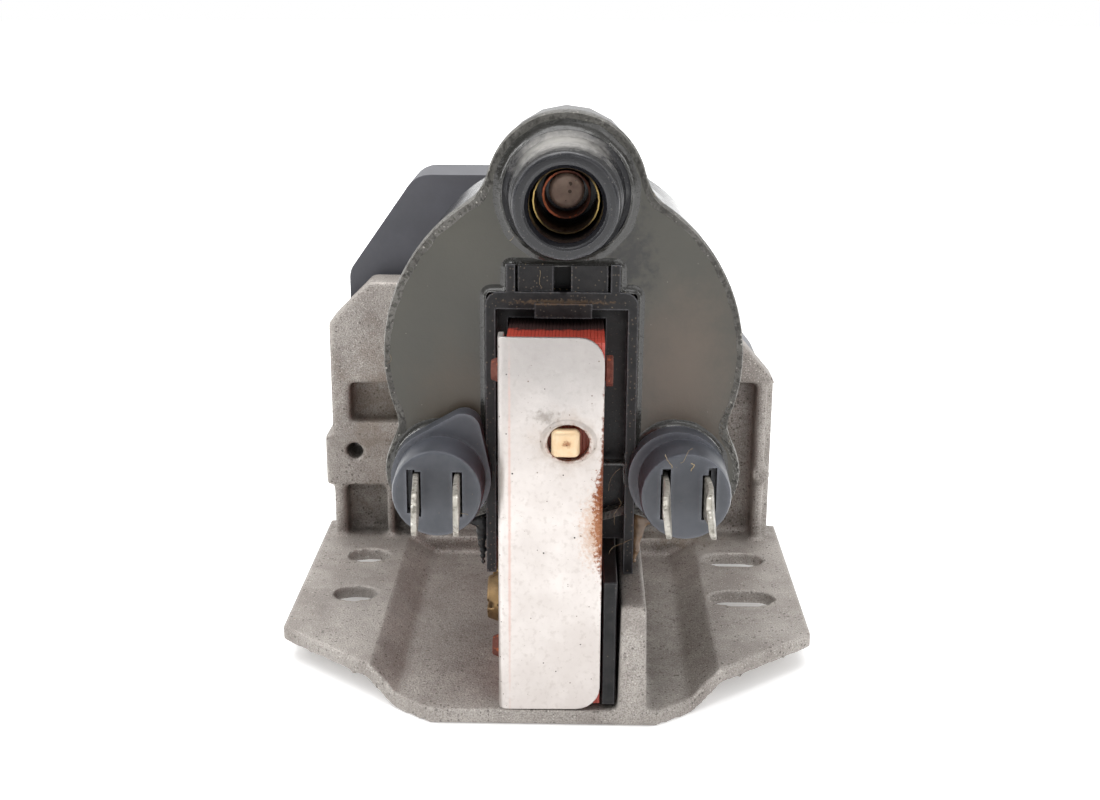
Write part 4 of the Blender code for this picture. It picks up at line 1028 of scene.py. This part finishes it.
def meniscus(name, path, reach, climb, seed):
    """Sweeps a concave fillet along the path; the wall is on the path's inner side."""
    rings = []
    count = len(path)
    for index, spot in enumerate(path):
        along = (path[(index + 1) % count] - path[index - 1]).normalized()
        outward = Vector((along.y, -along.x))
        wander = 1 + 0.35 * noise.noise(Vector((spot.x, spot.y, seed)) * 0.35)
        section = [(-0.15, FACE + 0.15), (-0.15, FACE - climb * wander)]
        for step in range(1, 6):
            turn = math.pi / 2 * step / 5
            out = reach * wander * (1 - math.cos(turn))
            section.append((out, FACE - climb * wander * (1 - math.sin(turn)) - 0.015))
        section.append((reach * wander + 0.05, FACE + 0.15))
        rings.append([(spot.x + outward.x * out, y, spot.y + outward.y * out) for out, y in section])
    work = bmesh.new()
    skin(work, rings)
    piece = loose_object(name, work)
    soften(piece, 0.0, crease=60)
    settle(piece, resin_fillet, "resin")


def circle_path(centre, radius, steps=96):
    path = []
    for turn in (2 * math.pi * index / steps for index in range(steps)):
        path.append(Vector((centre[0] + radius * math.cos(turn), centre[1] + radius * math.sin(turn))))
    return path


channel_low, channel_high = span("core_channel")
CROWN_X = (-5.9, 10.8)
CROWN_FOOT = 63.6
channel_corners = [
    (channel_high.x, 37.5), (channel_high.x, CROWN_FOOT), (CROWN_X[1], CROWN_FOOT), (CROWN_X[1], 67.6),
    (CROWN_X[0], 67.6), (CROWN_X[0], CROWN_FOOT), (channel_low.x, CROWN_FOOT), (channel_low.x, 37.5),
]
right_x, right_z = BOSSES["right"]
MENISCI = {
    "channel": (rounded_path(channel_corners, 0.9), 0.9, 0.75, 3),
    "tower": (circle_path(TOWER, 9.45), 1.25, 0.75, 5),
    "boss_left": (circle_path(BOSSES["left"], 7.45), 0.9, 0.6, 8),
    "boss_right": (circle_path((right_x - 0.9, right_z + 0.4), 7.25), 0.9, 0.6, 8),
}
for place_name, facts in MENISCI.items():
    meniscus(f"meniscus_{place_name}", *facts)
print("menisci:", len(MENISCI))

# %% [markdown]
# ## High-tension tower
# The tower is turned in one piece: a mouth ring, a slow taper, a step and a flange in the resin. It
# repeats the CAD profile with 96 sides and rounded corners, because its rim catches the light.

# %% Tower
tower_profile = (
    (5.85, 1.3), (7.15, 1.3), (7.45, 1.6), (7.75, 6.2), (7.75, 6.9), (8.1, 7.3), (8.45, 11.6), (9.6, 13.1),
    (9.6, 16.4), (6.2, 16.4), (6.2, 21.0), (1.6, 21.0), (1.6, 18.6), (5.1, 18.6), (5.15, 2.2),
)
tower_piece = turned("hv_tower_finished", tower_profile, (TOWER[0], 0, TOWER[1]), "Y", 96)
soften(tower_piece, 0.28, 3, 18)
settle(tower_piece, tower_plastic, "tower_plastic", "hv_tower")
tower_low, tower_high = span("hv_tower")
print("tower reaches from Y", round(tower_low.y, 1), "to", round(tower_high.y, 1))

# %% [markdown]
# ## Terminal blocks
# Each block is a moulded cylinder with two flat tabs. The tabs sit in slots that are longer than they
# are, so a dark gap shows beside them, and the pair on the right has been pushed about by connectors.

# %% Blocks with slots


def box_object(name, low, high):
    work = bmesh.new()
    bmesh.ops.create_cube(work, size=1)
    low, high = at(*low), at(*high)
    for vertex in work.verts:
        vertex.co = (low + high) / 2 + vertex.co * (high - low)
    return loose_object(name, work)


def notch(piece, low, high):
    cutter = box_object("cutter", low, high)
    link(cutter)
    step = piece.modifiers.new("notch", "BOOLEAN")
    step.object = cutter
    bake_modifiers(piece)
    bpy.data.objects.remove(cutter)


TAB_SHIFTS = {"left": ((-0.75, 0.4), (0.1, 0.1)), "right": ((0.1, 1.0), (0.75, 1.2))}
for side, (boss_x, boss_z) in BOSSES.items():
    front = span(f"terminal_boss_{side}")[0].y
    block = welded_copy(f"terminal_boss_{side}")
    for direction, (shift_x, shift_z) in zip((-1, 1), TAB_SHIFTS[side]):
        x, z = boss_x + direction * 3 + shift_x, boss_z + shift_z
        notch(block, (x - 0.62, front - 1, z - 3.35), (x + 0.62, front + 2.2, z + 3.35))
    soften(block, 0.45, 3, 30)
    settle(block, terminal_plastic, "terminal_plastic", f"terminal_boss_{side}")
print("terminal blocks done")

# %% Tabs, the right pair bent
BENDS = {
    ("left", "outer"): (0.75, 0.05, 0.02), ("left", "inner"): (0.6, -0.08, 0.0),
    ("right", "inner"): (-0.35, 0.30, -0.12), ("right", "outer"): (-0.3, 0.45, -0.16),
}


def bend_tab(piece, sideways, kink, twist):
    """Cuts the tab into slices along its length and leans each slice a little further."""
    work = bmesh.new()
    work.from_mesh(piece.data)
    low, high = span(piece.name.replace("_finished", ""))
    for step in range(1, 24):
        y = low.y + (high.y - low.y) * step / 24
        everything = work.verts[:] + work.edges[:] + work.faces[:]
        bmesh.ops.bisect_plane(work, geom=everything, plane_co=at(0, y, 0), plane_no=(0, 1, 0))
    middle_z = (low.z + high.z) / 2
    for vertex in work.verts:
        y, z = (vertex.co.y - FRONT_EDGE) / MM, vertex.co.z / MM
        out = max(0.0, 2.4 - y) / 10
        wave = math.sin(out * math.pi)
        vertex.co.x += (sideways * out + kink * wave + twist * (z - middle_z) * out) * MM
        vertex.co.z += 0.15 * kink * wave * MM
    work.to_mesh(piece.data)
    work.free()


for side in ("left", "right"):
    for place_name in ("inner", "outer"):
        name = f"terminal_blade_{side}_{place_name}"
        tab = welded_copy(name)
        bend_tab(tab, *BENDS[side, place_name])
        soften(tab, 0.16, 2, 35)
        settle(tab, tinned_brass, "tinned_brass", name)
print("tabs done")

# %% [markdown]
# ## Windings
# The windings lie inside the case. Geometry Nodes lay one wire ring at each turn along the coil's axis,
# so that the opened model shows copper turns and not a smooth tube.

# %% Turns of wire
turn_inputs = {
    "Turns": ("Int", 20), "Radius": ("Float", 0.01), "Wire": ("Float", 0.0004),
    "Start": ("Vector", (0, 0, 0)), "Step": ("Vector", (0, 0.0008, 0)), "Material": ("Material", None),
}
turn_tree, turn_keys, given, result = new_tree("Turns Of Wire", turn_inputs)
stations = {"Count": given["Turns"], "Start Location": given["Start"], "Offset": given["Step"]}
line = geo(turn_tree, "MeshLine", stations)
loop_curve = geo(turn_tree, "CurvePrimitiveCircle", {"Resolution": 64, "Radius": given["Radius"]})
wire_curve = geo(turn_tree, "CurvePrimitiveCircle", {"Resolution": 6, "Radius": given["Wire"]})
swept = {"Curve": loop_curve.outputs[0], "Profile Curve": wire_curve.outputs[0]}
wire_ring = geo(turn_tree, "CurveToMesh", swept)
stood_up = geo(turn_tree, "Transform", {"Geometry": wire_ring.outputs[0], "Rotation": (math.pi / 2, 0, 0)})
laid = geo(turn_tree, "InstanceOnPoints", {"Points": line.outputs[0], "Instance": stood_up.outputs[0]})
both = geo(turn_tree, "JoinGeometry", {})
turn_tree.links.new(given["Geometry"], both.inputs[0])
turn_tree.links.new(laid.outputs[0], both.inputs[0])
close_tree(turn_tree, both.outputs[0], given["Material"], result)


def wind(name, wire):
    """Lays turns of wire round a winding's solid, within its own box."""
    low, high = span(name)
    piece = welded_copy(name)
    centre_x, centre_z = (low.x + high.x) / 2, (low.z + high.z) / 2
    for vertex in piece.data.vertices:
        shrunk = Vector((centre_x * MM, vertex.co.y, centre_z * MM))
        vertex.co = shrunk + (vertex.co - shrunk) * (1 - 0.7 * wire * MM / (vertex.co - shrunk).length)
    turns = int((high.y - low.y) / wire) - 1
    radius = (high.x - low.x) / 2 - wire * 0.75
    first = at(centre_x, low.y + wire, centre_z)
    values = {
        "Turns": turns, "Radius": radius * MM, "Wire": wire * 0.47 * MM, "Start": tuple(first),
        "Step": (0, (high.y - low.y - 2 * wire) / (turns - 1) * MM, 0), "Material": copper,
    }
    run_tree(piece, turn_tree, turn_keys, values)
    piece.data.shade_smooth()
    piece.data.set_sharp_from_angle(angle=math.radians(40))
    settle(piece, copper, "copper", name)
    return turns


WIRES = {"primary_winding": 0.8, **{f"secondary_winding_{number}": 0.4 for number in range(1, 7)}}
for name, wire in WIRES.items():
    print(name, "has", wind(name, wire), "turns on show")

# %% [markdown]
# ## What years of use leave behind
# Beads of brown resin that ran out of the mould, a flake stuck beside the frame, crumbs of grit on the
# ledges and a few hairs. Beads are balls melted together by a remesh; crumbs are scattered by Geometry
# Nodes on what faces up or forward; hairs are thin curves that wander.

# %% Resin that ran


LUMP_GRID = 0.22


def bead(name, balls, material, slot):
    """Melts balls (x, y, z, radius) into one lump."""
    work = bmesh.new()
    for x, y, z, radius in balls:
        made = bmesh.ops.create_icosphere(work, subdivisions=3, radius=radius * MM)
        bmesh.ops.translate(work, verts=made["verts"], vec=at(x, y, z))
    lump = loose_object(name, work)
    melt = lump.modifiers.new("melt", "REMESH")
    melt.mode = "VOXEL"
    melt.voxel_size = LUMP_GRID * MM
    calm = lump.modifiers.new("calm", "SMOOTH")
    calm.factor = 0.6
    calm.iterations = 6
    bake_modifiers(lump)
    lump.data.shade_smooth()
    settle(lump, material, slot)


def run_of_beads(start, end, first, last, steps, sag=0.0):
    beads = []
    for step in range(steps):
        share = step / (steps - 1)
        spot = Vector(start).lerp(Vector(end), share)
        wobble = noise.noise(spot * 0.6) * 0.4
        spot.z -= sag * math.sin(share * math.pi)
        radius = (first + (last - first) * share) * (1 + wobble * 0.4)
        beads.append((spot.x + wobble, spot.y, spot.z, radius))
    return beads


drip = run_of_beads((14.3, 15.3, 27.6), (13.9, 15.0, 20.6), 1.3, 0.45, 9)
drip += run_of_beads((14.6, 15.4, 27.4), (19.5, 15.6, 28.6), 1.15, 0.7, 7, 0.3)
bead("resin_drip", drip, brown_resin, "resin")
flake = run_of_beads((-10.0, 15.6, 27.0), (-9.9, 16.6, 19.4), 1.1, 0.4, 8)
flake += run_of_beads((-10.4, 15.6, 26.4), (-13.4, 15.8, 27.4), 0.9, 0.5, 5)
bead("resin_flake", flake, channel_plastic, "black_plastic")
print("beads:", len(drip) + len(flake))

# %% Crumbs and hairs
crumb_inputs = {
    "Density": ("Float", 20000.0), "Size": ("Float", 0.0002),
    "Seed": ("Int", 1), "Material": ("Material", None),
}
crumb_tree, crumb_keys, given, result = new_tree("Crumbs", crumb_inputs)
sown = {"Mesh": given["Geometry"], "Density": given["Density"], "Seed": given["Seed"]}
strewn = geo(crumb_tree, "DistributePointsOnFaces", sown)
grit = geo(crumb_tree, "MeshIcoSphere", {"Radius": given["Size"], "Subdivisions": 1})
dropped = geo(crumb_tree, "InstanceOnPoints", {
    "Points": strewn.outputs["Points"],
    "Instance": grit.outputs[0],
    "Scale": drawn(crumb_tree, (0.25, 0.25, 0.25), (1.0, 0.7, 0.6), given["Seed"]),
    "Rotation": drawn(crumb_tree, NOWHERE, (6.3, 6.3, 6.3), given["Seed"]),
})
close_tree(crumb_tree, dropped.outputs[0], given["Material"], result)


def crumbs(name, host_name, keep, density, size, seed):
    """Strews grit on the host's faces that the test keeps."""
    work = bmesh.new()
    work.from_mesh(bpy.data.objects[host_name].data)
    bmesh.ops.delete(work, geom=[face for face in work.faces if not keep(face)], context="FACES")
    ground = bpy.data.meshes.new(name)
    work.to_mesh(ground)
    work.free()
    piece = bpy.data.objects.new(name, ground)
    values = {"Density": density * 1e6, "Size": size * MM, "Seed": seed, "Material": lint_dust}
    run_tree(piece, crumb_tree, crumb_keys, values)
    settle(piece, lint_dust, "resin")
    return len(piece.data.polygons)


def faces_up(face):
    return face.normal.z > 0.7


def faces_front(face):
    return face.normal.y < -0.9


STREWN = {
    "grit_bracket": ("mounting_bracket", faces_up, 0.012, 0.14, 4),
    "grit_channel": ("core_channel", faces_up, 0.5, 0.16, 9),
    "grit_channel_front": ("core_channel", faces_front, 0.06, 0.12, 11),
    "grit_boss_left": ("terminal_boss_left", faces_front, 0.05, 0.08, 5),
    "grit_boss_right": ("terminal_boss_right", faces_front, 0.05, 0.08, 6),
}
for name, (host, *facts) in STREWN.items():
    print(name, "has", crumbs(name, host + "_finished", *facts), "faces")


HAIR_STEPS = 14


def hair(name, start, heading, length, width, seed, curl):
    """A fibre that wanders over the surface it lies on."""
    curve = bpy.data.curves.new(name, "CURVE")
    curve.dimensions = "3D"
    curve.bevel_depth = width / 2 * MM
    curve.bevel_resolution = 1
    curve.use_fill_caps = True
    spline = curve.splines.new("POLY")
    spline.points.add(HAIR_STEPS - 1)
    x, y, z = start
    turn = math.radians(heading)
    for index, point in enumerate(spline.points):
        point.co = (*at(x, y, z), 1)
        turn += curl * noise.noise(Vector((index * 0.9, seed, 0.5)))
        x += length / HAIR_STEPS * math.cos(turn)
        z += length / HAIR_STEPS * math.sin(turn)
        y += 0.03 * noise.noise(Vector((index * 0.7, 0.3, seed)))
    loose = bpy.data.objects.new(name, curve)
    link(loose)
    graph = bpy.context.evaluated_depsgraph_get()
    graph.update()
    mesh = bpy.data.meshes.new_from_object(loose.evaluated_get(graph))
    bpy.data.objects.remove(loose)
    mesh.shade_smooth()
    settle(bpy.data.objects.new(name, mesh), lint_dust, "resin")


boss_front = span("terminal_boss_right")[0].y - 0.04
hairs = (
    ((18.4, boss_front, 40.0), 60, 2.6, 0.10, 1, 1.2), ((21.2, boss_front, 39.6), 80, 1.8, 0.16, 2, 1.6),
    ((19.6, boss_front, 40.8), 10, 3.2, 0.06, 3, 0.8), ((-13.0, boss_front, 32.6), 20, 2.2, 0.05, 4, 0.5),
    ((9.6, 12.2, 33.0), 80, 4.6, 0.05, 5, 0.9), ((10.6, 12.2, 27.5), 110, 5.2, 0.05, 6, 1.0),
    ((9.8, 12.2, 22.5), 60, 4.8, 0.06, 7, 1.1), ((-5.4, 13.2, 71.0), 20, 3.4, 0.04, 8, 0.8),
    ((-1.0, 12.6, 66.8), -50, 3.0, 0.05, 9, 1.2), ((-24.0, 13.3, 52.0), 30, 2.4, 0.04, 10, 1.0),
)
for number, hair_facts in enumerate(hairs):
    hair(f"fibre_{number}", *hair_facts)
print("hairs:", len(hairs))

# %% [markdown]
# ## Floor and last checks
# The floor is white and a little glossy, so the coil gets a soft shadow and a faint reflection. The
# box of what is shown is measured against the CAD's box, and how far it has grown is printed.

# %% Floor
FLOOR_RADIUS = 3.0
FLOOR_GAP = 0.0001
floor_work = bmesh.new()
bmesh.ops.create_circle(floor_work, cap_ends=True, segments=96, radius=FLOOR_RADIUS)
floor = loose_object("floor", floor_work)
link(floor)
floor.data.transform(Matrix.Translation((0, 0, cad_low.z - FLOOR_GAP)))
table = Coat("white_table", (252, 252, 252), 0.2, Specular_IOR_Level=0.3, Emission_Strength=1.0)
from_middle = vectors(table.tree, "LENGTH", add_node(table.tree, "TexCoord").outputs["Object"])["Value"]
fade = ramp(table.tree, from_middle, 0.10, 0.5)
glow = maths(table.tree, "ADD", maths(table.tree, "MULTIPLY", fade, 0.75), 0.25)
table.tree.links.new(glow, table.shader.inputs["Emission Color"])
floor.data.materials.append(table.done())
floor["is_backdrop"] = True
low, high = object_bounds()
print("grown by (mm):", [round(v * 1000, 3) for v in (*(cad_low - low), *(high - cad_high))])
